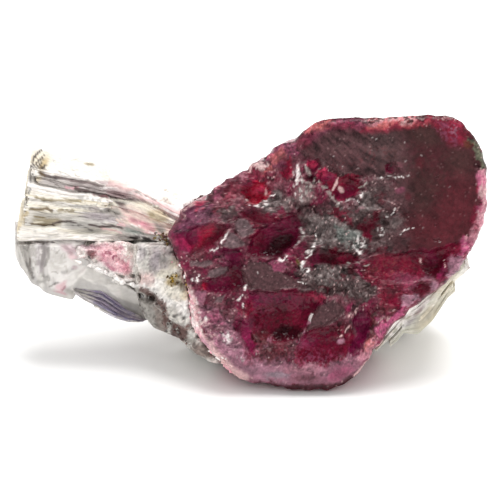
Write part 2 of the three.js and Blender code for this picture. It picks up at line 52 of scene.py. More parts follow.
# The crystal's fine mesh
FACE_CELLS = 256  # cells across the face
SIDE_RINGS = 20
BACK_RINGS = 6
RIM_LEVEL = -2.2  # just behind the worn rim, where the prism has its full width
TABLE_HEIGHT = 0.35
PIT_FLOOR = -1.6  # taken for the face's depth where a ray misses it
CHIP_DEPTH = 0.9  # how far the face drops at its very edge
CHIP_WIDTH = 0.22  # and within what width
CRYSTAL_RADIUS = 17.0  # roughly, for the ridges along the sides
BACK_PROBE = (10.0, 6.0)  # where the level of the broken back is measured
BACK_LEVEL = -12.0  # taken for it where the ray misses
SIDE_GLASS = 0.7  # the sides' share of the masks that the material reads
SIDE_GRIT = 0.5

# Where rays start: far out from the crystal's axis, just above its face, and in front of everything
OUTSIDE = 40.0
ABOVE = 4.0
IN_FRONT = 12.0

# How fine the remeshed minerals are
ALBITE_VOXEL = 0.215
QUARTZ_VOXEL = 0.16
NEST_VOXEL = 0.12
NEAR = 1.2  # how far the albite looks for the crystal that it closes up to
SHEET_BEVEL = np.array([0, 0, -0.035])  # how far a sheet's edges lie behind its middle

# Light in the stones
TOURMALINE_IOR = 1.62
QUARTZ_IOR = 1.544
# the colour of the painted glints
GLINT = (0.62, 0.5, 0.52)

# The camera
CAMERA_DISTANCE = 400.0
VIEW_WIDTH = 55.0  # millimetres across the picture, at the face
VIEW_CENTRE = np.array([-8.8, 0.44, 0.0])
SENSOR = 36.0
NEAREST = 0.01  # metres

# The room's light, as strengths
AMBIENT = 1.0
REFLECTED = 0.06
SUN = 2.8
SUN_WIDTH = math.radians(40)
SUN_FROM = (0.12, 0.28, 1.0)
FILL_POWER = 0.06
FILL_PLACE = (0.02, -0.36, 0.26)
FILL_SIZE = (0.2, 0.2)
FILL_AIM = (0, 0, 0.012)
FLOOR_SIZE = 3.0

# How much darker the face's colours are stored than they look in that light
FACE_SHADE = 0.6


def linear(code):
    """A colour written as an sRGB hex code, as linear numbers."""
    c = np.array([int(code[i : i + 2], 16) for i in (0, 2, 4)]) / 255
    return np.where(c <= 0.04045, c / 12.92, ((c + 0.055) / 1.055) ** 2.4)


REDS = dict(
    cherry="380a14", deep="641026", crimson="821434", garnet="a01c3e", ruby="c01638", bright="d63a62",
    wine="7c143c", plum="700e3a", magenta="9c2656", rose="a85070", brick="6a2630", table="58272e",
)
PINKS = dict(
    lilac="a86c80", orchid="c08a9e", pink="e49aaa", salmon="d87470", blush="e6bfbd", bloom="d4608e",
    petal="b8a5a2", heath="7a3c58", mauve="824a56", dusk="634246",
)
WHITES = dict(
    snow="f4efeb", frost="f3ebe8", milk="e4dfd8", cream="e8e0cc", pearl="d2cdc6", hay="c4c1b0",
    fog="bdb8b0", ivory="bdb8a6", dove="b3a9a6",
)
GREYS = dict(
    ash="9d9690", stone="9a958f", teal="8a948e", smoke="847f7a", taupe="80666a", grey="70605f",
    slate="5c4848", char="38302f",
)
EARTHS = dict(
    sand="c9b896", gold="a8882e", cocoa="86746c", olive="7d6a3c", moss="6f6f5c", rust="6b4a44",
    bronze="5c4620", umber="4d3a37", sable="4e3532",
)
VIOLETS = dict(heather="9d8f99", iris="9890b0", violet="6f6690", indigo="544c78")
PALETTE = {**REDS, **PINKS, **WHITES, **GREYS, **EARTHS, **VIOLETS}
COLOURS = {name: linear(code) for name, code in PALETTE.items()}


# ---------------------------------------------------------------- frames and numbers


def to_row(p):
    """Points in the crystal's frame, in millimetres, as points in the row's frame, in metres."""
    u, v, w = p[..., 0], p[..., 1], p[..., 2]
    y = v * math.sin(LEAN) - w * math.cos(LEAN)
    z = v * math.cos(LEAN) + w * math.sin(LEAN)
    return (np.stack([u, y, z], axis=-1) + FACE_MIDDLE) * MM


def to_crystal(q):
    """The way back: points in the row's frame, in metres, as crystal-frame millimetres."""
    x, y, z = np.moveaxis(q / MM - FACE_MIDDLE, -1, 0)
    v = y * math.sin(LEAN) + z * math.cos(LEAN)
    w = -y * math.cos(LEAN) + z * math.sin(LEAN)
    return np.stack([x, v, w], axis=-1)


def smoothstep(low, high, x):
    t = np.clip((x - low) / (high - low), 0, 1)
    return t * t * (3 - 2 * t)


def blend(a, b, share):
    """From a to b by a share."""
    return a + (b - a) * share


def hashed(cell, seed):
    """A repeatable number from 0 to 1 for each lattice cell."""
    h = cell @ np.array([374761393, 668265263, 1103515245][: cell.shape[-1]], np.int64)
    h = (h + seed * 974634777) & 0xFFFFFFFF
    h = ((h ^ (h >> 13)) * 1274126177) & 0xFFFFFFFF
    h = ((h ^ (h >> 15)) * 2246822519) & 0xFFFFFFFF
    return (h ^ (h >> 16)) / 4294967295.0


def lattice(p):
    """The lattice cell that each place is in."""
    return np.floor(p).astype(np.int64)


def noise(p, seed=0):
    """Smooth noise from -1 to 1."""
    base = lattice(p)
    f = p - base
    f = f * f * (3 - 2 * f)
    total = np.zeros(p.shape[:-1])
    for corner in itertools.product((0, 1), repeat=p.shape[-1]):
        weight = np.prod(np.where(corner, f, 1 - f), axis=-1)
        total += weight * hashed(base + np.array(corner), seed)
    return 2 * total - 1


def fbm(p, octaves=4, seed=0):
    """Noise summed over octaves, from about -1 to 1."""
    total, size = 0, 1.0
    for octave in range(octaves):
        total = total + size * noise(p * 2**octave + 19.7 * octave, seed + octave)
        size /= 2
    return total / 1.6


def wander(p, size, scale, seed):
    """Shakes places about, so that what is drawn there has no straight edges."""
    shift = [fbm(p * scale + 37 * k, 3, seed + 5 * k) for k in range(p.shape[-1])]
    return p + size * np.stack(shift, axis=-1)


def broken(p, seed, sides=5):
    """Broken ground: each place's depth below the nearest of many small many-sided peaks, and a
    number of that peak's own. The ground is all flat facets and has no steps."""
    dims = p.shape[-1]
    base = lattice(p)
    depth = np.full(p.shape[:-1], np.inf)
    own = np.zeros(p.shape[:-1])
    for corner in itertools.product((-1, 0, 1), repeat=dims):
        cell = base + np.array(corner)
        shift = np.stack([hashed(cell, seed + 11 + k) for k in range(dims)], axis=-1)
        away = p - (cell + 0.15 + 0.7 * shift)
        number = hashed(cell, seed)
        below = np.zeros_like(depth)
        for side in range(sides):
            if dims == 2:
                angle = 2 * math.pi * (number + (side + 0.5 * hashed(cell, seed + 41 + side)) / sides)
                reach = away[..., 0] * np.cos(angle) + away[..., 1] * np.sin(angle)
            else:
                axis = [hashed(cell, seed + 41 + 3 * side + k) - 0.5 for k in range(3)]
                axis = np.stack(axis, axis=-1)
                axis /= np.linalg.norm(axis, axis=-1, keepdims=True) + 1e-9
                reach = np.abs((away * axis).sum(-1))
            below = np.maximum(below, reach * (0.8 + 0.5 * hashed(cell, seed + 71 + side)))
        closer = below < depth
        depth = np.where(closer, below, depth)
        own = np.where(closer, number, own)
    return depth, own


# ---------------------------------------------------------------- painting
# A zone is the name of a colour and a function that gives its strength at each place. Places and
# sizes are in millimetres on the crystal's u and v.


def oval(colour, u, v, half_u, half_v, turn=0, amount=1.0, soft=0.35):
    """A soft-edged ellipse."""
    c, s = math.cos(math.radians(turn)), math.sin(math.radians(turn))

    def cover(place):
        du, dv = place[..., 0] - u, place[..., 1] - v
        reach = np.hypot((du * c + dv * s) / half_u, (dv * c - du * s) / half_v)
        return amount * (1 - smoothstep(1 - soft, 1 + soft, reach))

    return colour, cover


def edge_distance(place, corners, closed):
    """How far each place is from a line through the corners."""
    ends = corners[1:] + corners[:1] if closed else corners[1:]
    nearest = np.full(place.shape[:-1], np.inf)
    for a, b in zip(corners, ends):
        a, b = np.array(a, float), np.array(b, float)
        run = b - a
        t = np.clip(((place - a) @ run) / (run @ run), 0, 1)
        nearest = np.minimum(nearest, np.linalg.norm(place - a - t[..., None] * run, axis=-1))
    return nearest


def patch(colour, corners, amount=1.0, soft=0.25):
    """A many-sided area."""

    def cover(place):
        within = np.zeros(place.shape[:-1], bool)
        u, v = place[..., 0], place[..., 1]
        for (a_u, a_v), (b_u, b_v) in zip(corners, corners[1:] + corners[:1]):
            if a_v != b_v:
                crosses = (a_v > v) != (b_v > v)
                within ^= crosses & (u < (b_u - a_u) * (v - a_v) / (b_v - a_v) + a_u)
        depth = edge_distance(place, corners, True) * np.where(within, 1, -1)
        return amount * smoothstep(-soft, soft, depth)

    return colour, cover


def vein(colour, corners, width=0.15, amount=1.0, whole=False):
    """A thin line, such as a crack or the bright edge of a chip, ragged unless it is whole."""

    def cover(place):
        ragged = place if whole else wander(place, 0.16, 2.6, 7)
        distance = edge_distance(ragged, corners, False) * (1 + 0.5 * noise(place * 2.3, 9))
        gaps = 1 if whole else smoothstep(-0.35, 0.1, noise(place * 3.4, 8))
        return amount * gaps * (1 - smoothstep(0.3 * width, 1.1 * width, distance))

    return colour, cover


def sugar(*spot, **more):
    """An oval of specks."""
    colour, whole = oval(*spot, **more)

    def cover(place):
        specks = smoothstep(0.0, 0.45, noise(place * 4.2, 15) + 0.4 * noise(place * 9, 16))
        return whole(place) * specks

    return colour, cover


def painted(place, base, zones):
    """Paints zones in order over a base colour."""
    colour = np.broadcast_to(base, (*place.shape[:-1], 3)).copy()
    for name, cover in zones:
        colour += (COLOURS[name] - colour) * cover(place)[..., None]
    return colour


# ---------------------------------------------------------------- meshes


def added(name, data):
    """A new object in the scene."""
    obj = bpy.data.objects.new(name, data)
    bpy.context.scene.collection.objects.link(obj)
    return obj


def new_object(name, points, faces, colours, smooth=False):
    """A mesh object from points in the crystal's frame, with a colour stored for each vertex."""
    mesh = bpy.data.meshes.new(name)
    mesh.from_pydata(to_row(points).tolist(), [], faces)
    mesh.update()
    mesh.polygons.foreach_set("use_smooth", np.full(len(mesh.polygons), smooth))
    layer = mesh.attributes.new("tint", "FLOAT_COLOR", "POINT")
    rgba = np.concatenate([np.clip(colours, 0, 1), np.ones((len(colours), 1))], axis=1)
    layer.data.foreach_set("color", np.ascontiguousarray(rgba, np.float32).ravel())
    return added(name, mesh)


def mask(obj, **masks):
    """Stores masks, one number for each vertex, for the materials to read."""
    for name, values in masks.items():
        layer = obj.data.attributes.new(name, "FLOAT", "POINT")
        layer.data.foreach_set("value", np.ascontiguousarray(values, np.float32).ravel())


def mesh_numbers(mesh, what, key):
    values = np.zeros(len(mesh.vertices) * 3)
    getattr(mesh, what).foreach_get(key, values)
    return values.reshape(-1, 3)


def mesh_faces(mesh):
    return [list(p.vertices) for p in mesh.polygons]


def tree_of(node):
    """A CAD node's surface in the crystal's frame, for casting rays at."""
    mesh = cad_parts[node].data
    points = to_crystal(mesh_numbers(mesh, "vertices", "co"))
    return BVHTree.FromPolygons(points.tolist(), mesh_faces(mesh))


def cast(tree, starts, directions, miss):
    """Where rays first meet a surface, and how its face is turned there. A ray that meets nothing
    keeps its start, at the level given for a miss."""
    hits = np.array(starts, float)
    normals = np.zeros_like(hits)
    for i, (start, direction) in enumerate(zip(starts, directions)):
        place, normal, _, _ = tree.ray_cast(Vector(start), Vector(direction))
        if place is None:
            hits[i, 2] = miss
        else:
            hits[i] = place
            normals[i] = normal
    return hits, normals


def hull(points):
    """The smallest convex solid round some points: its corners and outward faces."""
    bm = bmesh.new()
    for point in points:
        bm.verts.new(point)
    made = bmesh.ops.convex_hull(bm, input=bm.verts)
    spare = {v for v in made["geom_interior"] + made["geom_unused"] if isinstance(v, bmesh.types.BMVert)}
    bmesh.ops.delete(bm, geom=list(spare), context="VERTS")
    bmesh.ops.recalc_face_normals(bm, faces=bm.faces)
    bm.verts.index_update()
    corners = np.array([v.co for v in bm.verts])
    faces = [[v.index for v in f.verts] for f in bm.faces]
    bm.free()
    return corners, faces


def grain(at, half, seed, turn=0.0, corners=14):
    """A small many-sided stone, turned in the plane of the face by an angle in degrees."""
    rng = np.random.default_rng(seed)
    way = rng.normal(size=(corners, 3))
    way /= np.linalg.norm(way, axis=1, keepdims=True)
    way = way * rng.uniform(0.82, 1.12, (corners, 1)) * np.array(half)
    c, s = math.cos(math.radians(turn)), math.sin(math.radians(turn))
    spun = np.stack([way[:, 0] * c - way[:, 1] * s, way[:, 0] * s + way[:, 1] * c, way[:, 2]], -1)
    return hull(spun + np.array(at))


def merged(parts):
    """Several meshes' points and faces as one."""
    points = np.concatenate([part[0] for part in parts])
    faces, first = [], 0
    for corners, sides in parts:
        faces += [[first + i for i in side] for side in sides]
        first += len(corners)
    return points, faces


def remeshed(node, voxel, extra):
    """A CAD node's shape, and extra solids joined to it, as an even fine mesh: points, outward
    normals and faces, in millimetres."""
    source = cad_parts[node].data
    points = to_crystal(mesh_numbers(source, "vertices", "co"))
    points, faces = merged([(points, mesh_faces(source)), *extra])
    mesh = bpy.data.meshes.new("work")
    mesh.from_pydata(points.tolist(), [], faces)
    obj = added("work", mesh)
    modifier = obj.modifiers.new("fine", "REMESH")
    modifier.mode = "VOXEL"
    modifier.voxel_size = voxel
    modifier.adaptivity = 0.0
    graph = bpy.context.evaluated_depsgraph_get()
    fine = bpy.data.meshes.new_from_object(obj.evaluated_get(graph))
    points, normals = mesh_numbers(fine, "vertices", "co"), mesh_numbers(fine, "vertex_normals", "vector")
    faces = mesh_faces(fine)
    bpy.data.objects.remove(obj)
    bpy.data.meshes.remove(mesh)
    bpy.data.meshes.remove(fine)
    return points, normals, faces


def fillings(table, seed):
    """Solids to join to a mineral, from a table of places and half sizes."""
    return [grain((u, v, w), half, seed + i) for i, (u, v, w, half) in enumerate(table)]


def grounded(points):
    """Keeps points from going below the floor."""
    row = to_row(points)
    row[..., 2] = np.maximum(row[..., 2], 0)
    return to_crystal(row)


def grid_faces(rows, columns):
    """Quads over a grid of vertices."""
    index = np.arange(rows * columns).reshape(rows, columns)
    quads = np.stack([index[:-1, :-1], index[1:, :-1], index[1:, 1:], index[:-1, 1:]], axis=-1)
    return quads.reshape(-1, 4).tolist()


def band_faces(before, after):
    """Quads between two rings of vertices."""
    quads = np.stack([before, after, np.roll(after, -1), np.roll(before, -1)], axis=-1)
    return quads.tolist()


# ---------------------------------------------------------------- the tourmaline's colours

# The broken face, from the large to the small
FACE_PAINT = [
    # the smooth table on the right: brown, greyer to the left where a sheen is painted in, redder low down
    patch("table", [(-4, 16), (-3, 11), (-1, 9.8), (0.5, 8.8), (3, 8.5), (5, 8.7), (6.2, 8), (6.2, 5.5),
        (6.8, 4.4), (6.8, 0.4), (11, 0.5), (13.4, 1), (16.6, 2.4), (18, 9), (15, 16)]),
    oval("dusk", 1.5, 11, 4.5, 2.6, -10, 0.9, 0.5),
    oval("dusk", 6.5, 9, 2.4, 5.5, 0, 0.8, 0.5),
    oval("slate", 5.6, 11.6, 2.2, 2, -30, 0.6, 0.7),
    oval("sable", 10.5, 13, 2.2, 1, -10, 0.7, 0.7),
    oval("sable", 14.4, 10.2, 1.6, 1.6, 0, 0.6, 0.7),
    oval("sable", 10.3, 6.8, 1.6, 2.2, 0, 0.5, 0.7),
    oval("brick", 12.6, 2.9, 3.6, 1.8, 15, 0.8, 0.7),
    oval("brick", 13.8, 6, 2.2, 2.4, 0, 0.7, 0.7),
    patch("garnet", [(11.4, 15.5), (12.2, 13.4), (13.2, 12), (15.4, 12), (14.9, 14.4)], 0.75, 0.6),
    sugar("rose", 13.2, 13.2, 1.8, 1, -40, 0.8, 0.5),
    sugar("orchid", 13.4, 14, 1.2, 0.5, -30, 0.5, 0.5),
    patch("rose", [(-3.4, 12), (-2.8, 13.5), (-1.5, 15.2), (4.2, 15.2), (4.2, 13.7), (0, 13.9),
        (-2, 12.2)], 0.6, 0.6),
    oval("crimson", 1, 14.1, 2.2, 0.4, 0, 0.6, 0.6),
    # salmon and pink along the top edge: a painted glow of light coming through the thin edge
    oval("salmon", -1.2, 14.1, 1.4, 0.6, 30, 0.8, 0.6),
    patch("garnet", [(3.4, 13.4), (4.2, 14.9), (10, 14.9), (9.6, 13.9), (7.4, 13.6),
        (5.4, 13.4)], 0.8, 0.4),
    patch("salmon", [(4.2, 13.9), (4.6, 14.9), (9.4, 14.9), (9, 14.3), (7.2, 14.15),
        (5.4, 13.8)], 0.9, 0.35),
    oval("pink", 7.2, 14.5, 2.6, 0.3, 0, 0.6, 0.5),
    oval("blush", 7, 14.65, 2.4, 0.22, 0, 0.6, 0.5),
    patch("garnet", [(9.4, 14.2), (9.6, 14.9), (13.2, 14.8), (12.6, 13.9)], 0.8, 0.3),
    oval("pink", 5, 14.4, 0.7, 0.3, 0, 0.6, 0.6),
    oval("rose", 12.4, 14.4, 0.8, 0.3, -20, 0.8, 0.6),
    oval("wine", 6.6, 9.4, 0.4, 0.65, 0, 0.9, 0.3),
    oval("mauve", 7.4, 9.5, 0.6, 0.5, 0, 0.8, 0.5),
    oval("brick", 9.8, 10, 0.5, 0.6, 0, 0.6, 0.5),
    sugar("grey", 5.4, 10.6, 3.4, 2.6, -20, 0.35, 0.6),
    sugar("brick", 3.2, 10.8, 4.6, 1.6, 0, 0.5, 0.6),
    sugar("sable", 10, 9.4, 4, 4.4, 0, 0.4, 0.6),
    sugar("grey", 1.2, 11.4, 2.4, 1.2, 10, 0.3, 0.6),
    oval("mauve", 6.5, 7.8, 0.6, 0.35, 0, 0.8, 0.5),
    oval("rose", 7.8, 7.1, 0.4, 0.3, 0, 0.9, 0.4),
    # the grey plateau, its grey partly a painted sheen off the flat tops, and the red that shows through it
    patch("slate", [(-3.2, 4.8), (-1, 5), (0.6, 5.6), (3, 6.6), (4.4, 7.8), (6.6, 8), (6.2, 5), (7.6, 3.6),
        (7.2, 0.4), (3.6, -0.4), (-3, 0.2)], 0.9, 0.7),
    patch("slate", [(-3.4, -1.8), (-2.2, -1.2), (1.8, -1.1), (4.2, -2.8), (5.3, -3.6), (4.4, -5),
        (3.4, -5.8), (1, -4.9), (-1.8, -4.2), (-3.4, -3.4)], 0.95, 0.2),
    patch("grey", [(-2.9, 4.3), (-1.2, 4.4), (0, 3.9), (1.8, 3.3), (2.4, 1.4), (0.6, 0.7), (-1.6, 0.6),
        (-2.6, 2.8)], 0.9, 0.3),
    patch("teal", [(0.7, 3.1), (1.6, 3.2), (2.7, 2.6), (3.2, 1.8), (3.7, 0.4), (3.2, 0.1), (2.6, 1),
        (1.2, 0.9), (0.3, 1.6)], 0.7, 0.35),
    oval("grey", 3.8, 5.4, 0.9, 0.9, 0, 0.8, 0.4),
    oval("grey", 7.1, 3.4, 1.1, 0.9, 0, 0.8, 0.5),
    oval("dusk", 7, 6, 1.6, 1.6, 10, 0.7, 0.6),
    oval("dusk", 7.6, 1.8, 1.2, 1.2, 0, 0.7, 0.6),
    oval("deep", 5.6, 6.1, 0.5, 0.4, 30, 0.6, 0.6),
    oval("grey", -0.1, -2.4, 1.9, 1, 0, 0.9, 0.5),
    oval("mauve", 2.2, 5.3, 1, 0.5, 10, 0.8, 0.4),
    oval("mauve", 2, -4.9, 1.3, 0.45, -8, 0.8, 0.4),
    oval("grey", -6, 5.5, 1.8, 0.9, 15, 0.9, 0.3),
    oval("slate", -3.2, 5.1, 2.2, 0.6, 0, 0.7, 0.4),
    patch("crimson", [(-0.8, 4.2), (0.6, 4.9), (1.8, 4.5), (2.5, 4.2), (2.5, 3.2), (1.9, 3.9),
        (0.6, 4)], 0.9, 0.2),
    patch("deep", [(2.8, 3.3), (4.4, 3.6), (5, 4.4), (5.8, 4.7), (5.4, 3.4), (4.6, 2.4), (4.5, 1.2),
        (3.9, 2.2), (3.2, 2.5)], 0.95, 0.2),
    oval("crimson", 4.3, 1.9, 0.35, 0.6, 20, 0.9, 0.4),
    oval("deep", -2.2, 2, 0.6, 0.3, -20, 0.8, 0.4),
    oval("wine", -3, 0.7, 0.6, 0.9, 10, 0.8, 0.4),
    oval("deep", 0.9, -2.6, 0.6, 0.2, 15, 0.8, 0.4),
    oval("deep", 2.4, -2.1, 0.6, 0.9, 0, 0.7, 0.4),
    oval("deep", -0.7, -3.7, 1, 0.3, -8, 0.9, 0.4),
    oval("magenta", 2.3, -5.7, 0.6, 0.4, 0, 0.8, 0.4),
    oval("deep", 4, 3.1, 0.3, 0.9, 60, 0.8, 0.4),
    oval("deep", 8.5, 6.3, 0.3, 0.5, 0, 0.5, 0.5),
    # the upper left slope
    patch("mauve", [(-17.8, 2.2), (-16.6, 5), (-14, 6.6), (-10, 9.6), (-6, 12), (-3, 13), (-2.6, 10),
        (-4.2, 7.6), (-6, 8.6), (-9.8, 9), (-10, 5.6), (-9.8, 4), (-13, 3.9), (-15, 3)], 0.95, 0.3),
    patch("heath", [(-17.7, 2.4), (-16.4, 4.3), (-15.2, 5), (-13.4, 5.3), (-12.8, 4.3), (-13.4, 3.6),
        (-14.6, 2.9), (-16.2, 2.3)], 0.9, 0.3),
    oval("deep", -11.2, 7.4, 1.1, 0.6, 35, 0.6, 0.6),
    oval("garnet", -10.8, 6.4, 1.5, 0.8, 30, 0.45, 0.6),
    oval("rose", -12.6, 6.5, 0.8, 0.4, 35, 0.6, 0.5),
    oval("crimson", -12.3, 4.6, 0.6, 0.4, 40, 0.9, 0.4),
    patch("slate", [(-12.6, 4.3), (-11.6, 5.3), (-10.4, 5), (-9.9, 4.2), (-10.4, 3.6),
        (-11.8, 3.9)], 0.85, 0.2),
    patch("crimson", [(-9.9, 8.2), (-8.9, 9.2), (-6.6, 9.2), (-5.7, 8.2), (-6.4, 7.2),
        (-8.4, 8.2)], 0.75, 0.3),
    patch("rose", [(-7.3, 10.3), (-6.2, 11.7), (-4.8, 12.3), (-3.6, 12.2), (-3.4, 11), (-4.4, 10),
        (-5.8, 9.4)], 0.75, 0.3),
    oval("salmon", -5.6, 10.8, 1, 0.5, 30, 0.7, 0.5),
    oval("salmon", -6.6, 9.3, 0.8, 0.4, 20, 0.6, 0.5),
    patch("garnet", [(-5, 10.7), (-4.2, 10.6), (-3.9, 9.6), (-4, 8.1), (-5.4, 8.2), (-5.6, 8.9),
        (-4.9, 9.4)], 1, 0.2),
    oval("wine", -5.2, 9.6, 0.4, 0.5, 0, 0.6, 0.5),
    oval("mauve", -5.6, 7.7, 1.4, 0.6, -20, 0.6, 0.5),
    oval("crimson", -2.6, 12.6, 1.2, 0.7, 40, 0.5, 0.6),
    # pale pink on the knob and along the upper left edge: painted highlights
    patch("blush", [(-9.1, 9.3), (-8.7, 10), (-7.9, 10.3), (-7.1, 10), (-7.1, 9.5),
        (-8.4, 9.3)], 0.9, 0.15),
    patch("blush", [(-16.5, 4.1), (-16.2, 5.1), (-15.2, 5.6), (-14.3, 6), (-13.8, 5.7), (-15, 5.1),
        (-15.9, 4.6)], 0.85, 0.2),
    oval("bright", -14.5, 5.35, 0.6, 0.3, 10, 0.7, 0.5),
    oval("pink", -9.6, 8.7, 0.5, 0.2, 40, 0.8, 0.5),
    oval("pink", -11.8, 7.5, 0.4, 0.2, 40, 0.6, 0.5),
    # clear red hollows, their brightest red partly a painted glow of light through the crystal
    patch("magenta", [(-17.4, 2.1), (-16.2, 2.5), (-14.9, 2.7), (-14.6, 0.9), (-15.3, 0.2),
        (-16.6, 0.3)], 1, 0.4),
    patch("garnet", [(-15.9, 1.1), (-14.4, 2.7), (-13.3, 3.5), (-12.5, 3.5), (-12.4, 2.2), (-13, 1),
        (-14.9, 0.4)], 1, 0.6),
    oval("ruby", -14, 1.7, 1.3, 0.5, 40, 0.6, 0.7),
    oval("magenta", -15.2, 1.7, 1, 0.7, 40, 0.7, 0.7),
    oval("deep", -13.4, 1.5, 1, 0.4, 40, 0.7, 0.7),
    oval("bright", -15, 0.9, 0.7, 0.25, 20, 0.4, 0.6),
    patch("deep", [(-13.2, 1), (-12.8, 2.4), (-12.3, 3.2), (-11.2, 2.9), (-11.8, 1.9),
        (-12.5, 1.1)], 0.9, 0.3),
    patch("deep", [(-15.4, 0.2), (-13.2, 0.4), (-12.4, -0.6), (-15.2, -0.6)], 0.6, 0.4),
    patch("ruby", [(-9.6, 7.5), (-9.2, 8.1), (-7.3, 8), (-6.8, 7.3), (-7, 6.4), (-7.6, 5.8), (-8.3, 5.4),
        (-9, 5.7), (-9.7, 6.6)], 1, 0.2),
    oval("deep", -8.9, 5.9, 0.6, 0.4, -20, 0.6, 0.6),
    oval("bright", -8.3, 7, 0.5, 0.35, 20, 0.5, 0.6),
    oval("wine", -9, 7.8, 0.8, 0.4, 20, 0.8, 0.5),
    oval("garnet", -9.3, 7, 0.4, 0.6, 0, 0.9, 0.5),
    oval("bright", -7.5, 7.2, 0.55, 0.4, -30, 0.8, 0.6),
    patch("crimson", [(-9.8, 4.5), (-8.4, 4.7), (-6.6, 4.2), (-4.2, 4.4), (-4.4, 3.6), (-7.6, 3),
        (-8.8, 3.6)], 0.95, 0.2),
    patch("wine", [(-9.4, 1.2), (-8.6, 2.4), (-7.8, 3.2), (-4.2, 4.1), (-3.3, 3.6), (-3.3, 2.4), (-4, 0.7),
        (-5.4, -0.3), (-8.6, -0.4), (-9.4, 0.2)], 1, 0.25),
    oval("crimson", -8, 1.9, 0.9, 1, 0, 0.8, 0.6),
    oval("deep", -8, 0.5, 1.2, 0.9, 0, 0.7, 0.6),
    patch("cherry", [(-7.2, 0.2), (-6.6, 1.6), (-5.4, 2.2), (-3.7, 2.2), (-4.2, 0.6), (-5.6, -0.3),
        (-7, -0.2)], 0.95, 0.4),
    patch("plum", [(-12.6, 0.7), (-9.9, 0.6), (-9.9, -1), (-10.9, -1.2), (-12.2, -0.9)], 0.9, 0.25),
    oval("rose", -11.5, -0.3, 0.5, 0.3, 0, 0.5, 0.5),
    patch("wine", [(-14.4, -3), (-13.8, -2.8), (-12.2, -2.8), (-11.2, -2.2), (-10.8, -1.2), (-9.9, -0.9),
        (-9.7, -2.4), (-9.6, -3.6), (-10, -4.4), (-11, -4.8), (-13.4, -4.1), (-14.4, -3.9)], 1, 0.15),
    oval("ruby", -14, -3.5, 0.5, 0.5, 0, 0.7, 0.5),
    oval("deep", -10.5, -2.8, 0.7, 1.4, 0, 0.9, 0.5),
    patch("crimson", [(-9.6, -5.2), (-8.9, -4.3), (-6.6, -4.1), (-3.6, -4), (-1.8, -4.3), (-0.7, -5),
        (-1.3, -5.6), (-1.9, -6.2), (-3, -8.3), (-3.7, -9.3), (-4.9, -9.9), (-8.2, -9.9), (-8.8, -8.4),
        (-9.3, -6.4)], 1, 0.4),
    oval("magenta", -7.6, -5, 1.8, 0.8, 0, 0.9, 0.5),
    oval("magenta", -5, -4.9, 1.4, 0.5, 0, 0.6, 0.6),
    oval("rose", -9, -7.6, 0.5, 1.2, 10, 0.5, 0.6),
    oval("garnet", -9, -5.8, 0.5, 0.8, -30, 0.8, 0.5),
    oval("deep", -6.8, -6.2, 1, 0.9, 0, 0.7, 0.6),
    oval("wine", -3.6, -5.4, 1.4, 0.8, 0, 0.6, 0.6),
    oval("bright", -1.3, -4.95, 0.5, 0.35, 0, 0.7, 0.5),
    sugar("plum", -6.4, -5, 3.2, 1.1, 0, 0.7, 0.6),
    sugar("deep", -4.6, -6.6, 2.6, 1.6, 0, 0.7, 0.6),
    sugar("rose", -7.8, -7, 1.6, 1.3, 20, 0.4, 0.6),
    sugar("brick", -5.6, -7.2, 2.4, 0.9, 0, 0.6, 0.6),
    patch("cherry", [(-6.4, -8.6), (-5.2, -7.8), (-3.2, -7.8), (-3.2, -8.8), (-4.6, -9.6),
        (-6, -9.4)], 0.95, 0.35),
    patch("brick", [(-8.4, -8.6), (-7, -8.2), (-6.3, -9), (-7.2, -9.7), (-8.3, -9.8)], 1, 0.3),
    patch("orchid", [(-7.6, -9.9), (-6.4, -9.3), (-6.6, -10.1), (-7.4, -10.3)], 0.6, 0.2),
    oval("brick", -6, -10.6, 1.8, 0.7, 0, 0.8, 0.5),
    patch("magenta", [(-10.7, -7.2), (-9, -7.4), (-8.5, -9), (-8.3, -11.2), (-8.7, -11), (-9.1, -10),
        (-10, -9)], 1, 0.12),
    oval("wine", -10, -8, 0.6, 0.9, -20, 0.8, 0.5),
    patch("crimson", [(-3.1, -9.2), (-2.6, -8.4), (-0.6, -8.1), (0.6, -7.8), (2.4, -8), (2.6, -10),
        (1.6, -12.4), (-3.4, -12.2), (-3.9, -11)], 1, 0.2),
    oval("magenta", -2.2, -9.6, 1, 0.8, 0, 0.6, 0.6),
    oval("deep", 1.1, -8, 0.9, 0.7, 20, 0.9, 0.4),
    oval("deep", 0.9, -11.2, 0.6, 1.1, 0, 0.8, 0.5),
    sugar("rose", -1.2, -11.6, 2.8, 0.9, 0, 0.7, 0.6),
    sugar("plum", -1, -9.2, 2.4, 0.9, 0, 0.6, 0.6),
    sugar("rose", -2.8, -10.4, 0.7, 1.6, 10, 0.5, 0.6),
    patch("plum", [(2.5, -7.1), (3.6, -6.4), (4.2, -6.6), (4.1, -8.4), (3.9, -9.6), (3.2, -10.9),
        (2.7, -12), (2.2, -11.6), (2.4, -9.8), (2.9, -8.6)], 1, 0.15),
    patch("brick", [(4.3, -6.4), (5.3, -6.2), (5.2, -7.4), (4.9, -8.6), (4.4, -9.8), (3.8, -9.6),
        (4.3, -7.8)], 1, 0.2),
    patch("deep", [(-1.2, -0.6), (-0.2, 0.5), (1.2, 0.5), (2.4, 0.2), (3.2, -0.4), (2.6, -1),
        (-0.4, -1.2)], 1, 0.15),
    oval("crimson", 1.9, -0.4, 0.9, 0.4, -10, 0.9, 0.4),
    patch("crimson", [(3.6, -1.2), (5, -0.3), (6.5, 0), (9.8, 0.2), (10.5, -0.4), (10.6, -2), (10, -2.6),
        (8.9, -4), (7.8, -4.5), (5.6, -3.4), (4.2, -2.8)], 1, 0.2),
    oval("deep", 7, 0.1, 3.2, 0.3, 2, 0.8, 0.4),
    oval("garnet", 8.8, -1.4, 1.2, 0.8, 0, 0.7, 0.6),
    oval("rose", 8.4, -2.9, 1.6, 0.8, -20, 0.5, 0.6),
    sugar("salmon", 6.4, -1.4, 2.2, 0.9, 0, 0.4, 0.6),
    sugar("deep", 5.4, -0.9, 1.6, 0.8, 0, 0.6, 0.6),
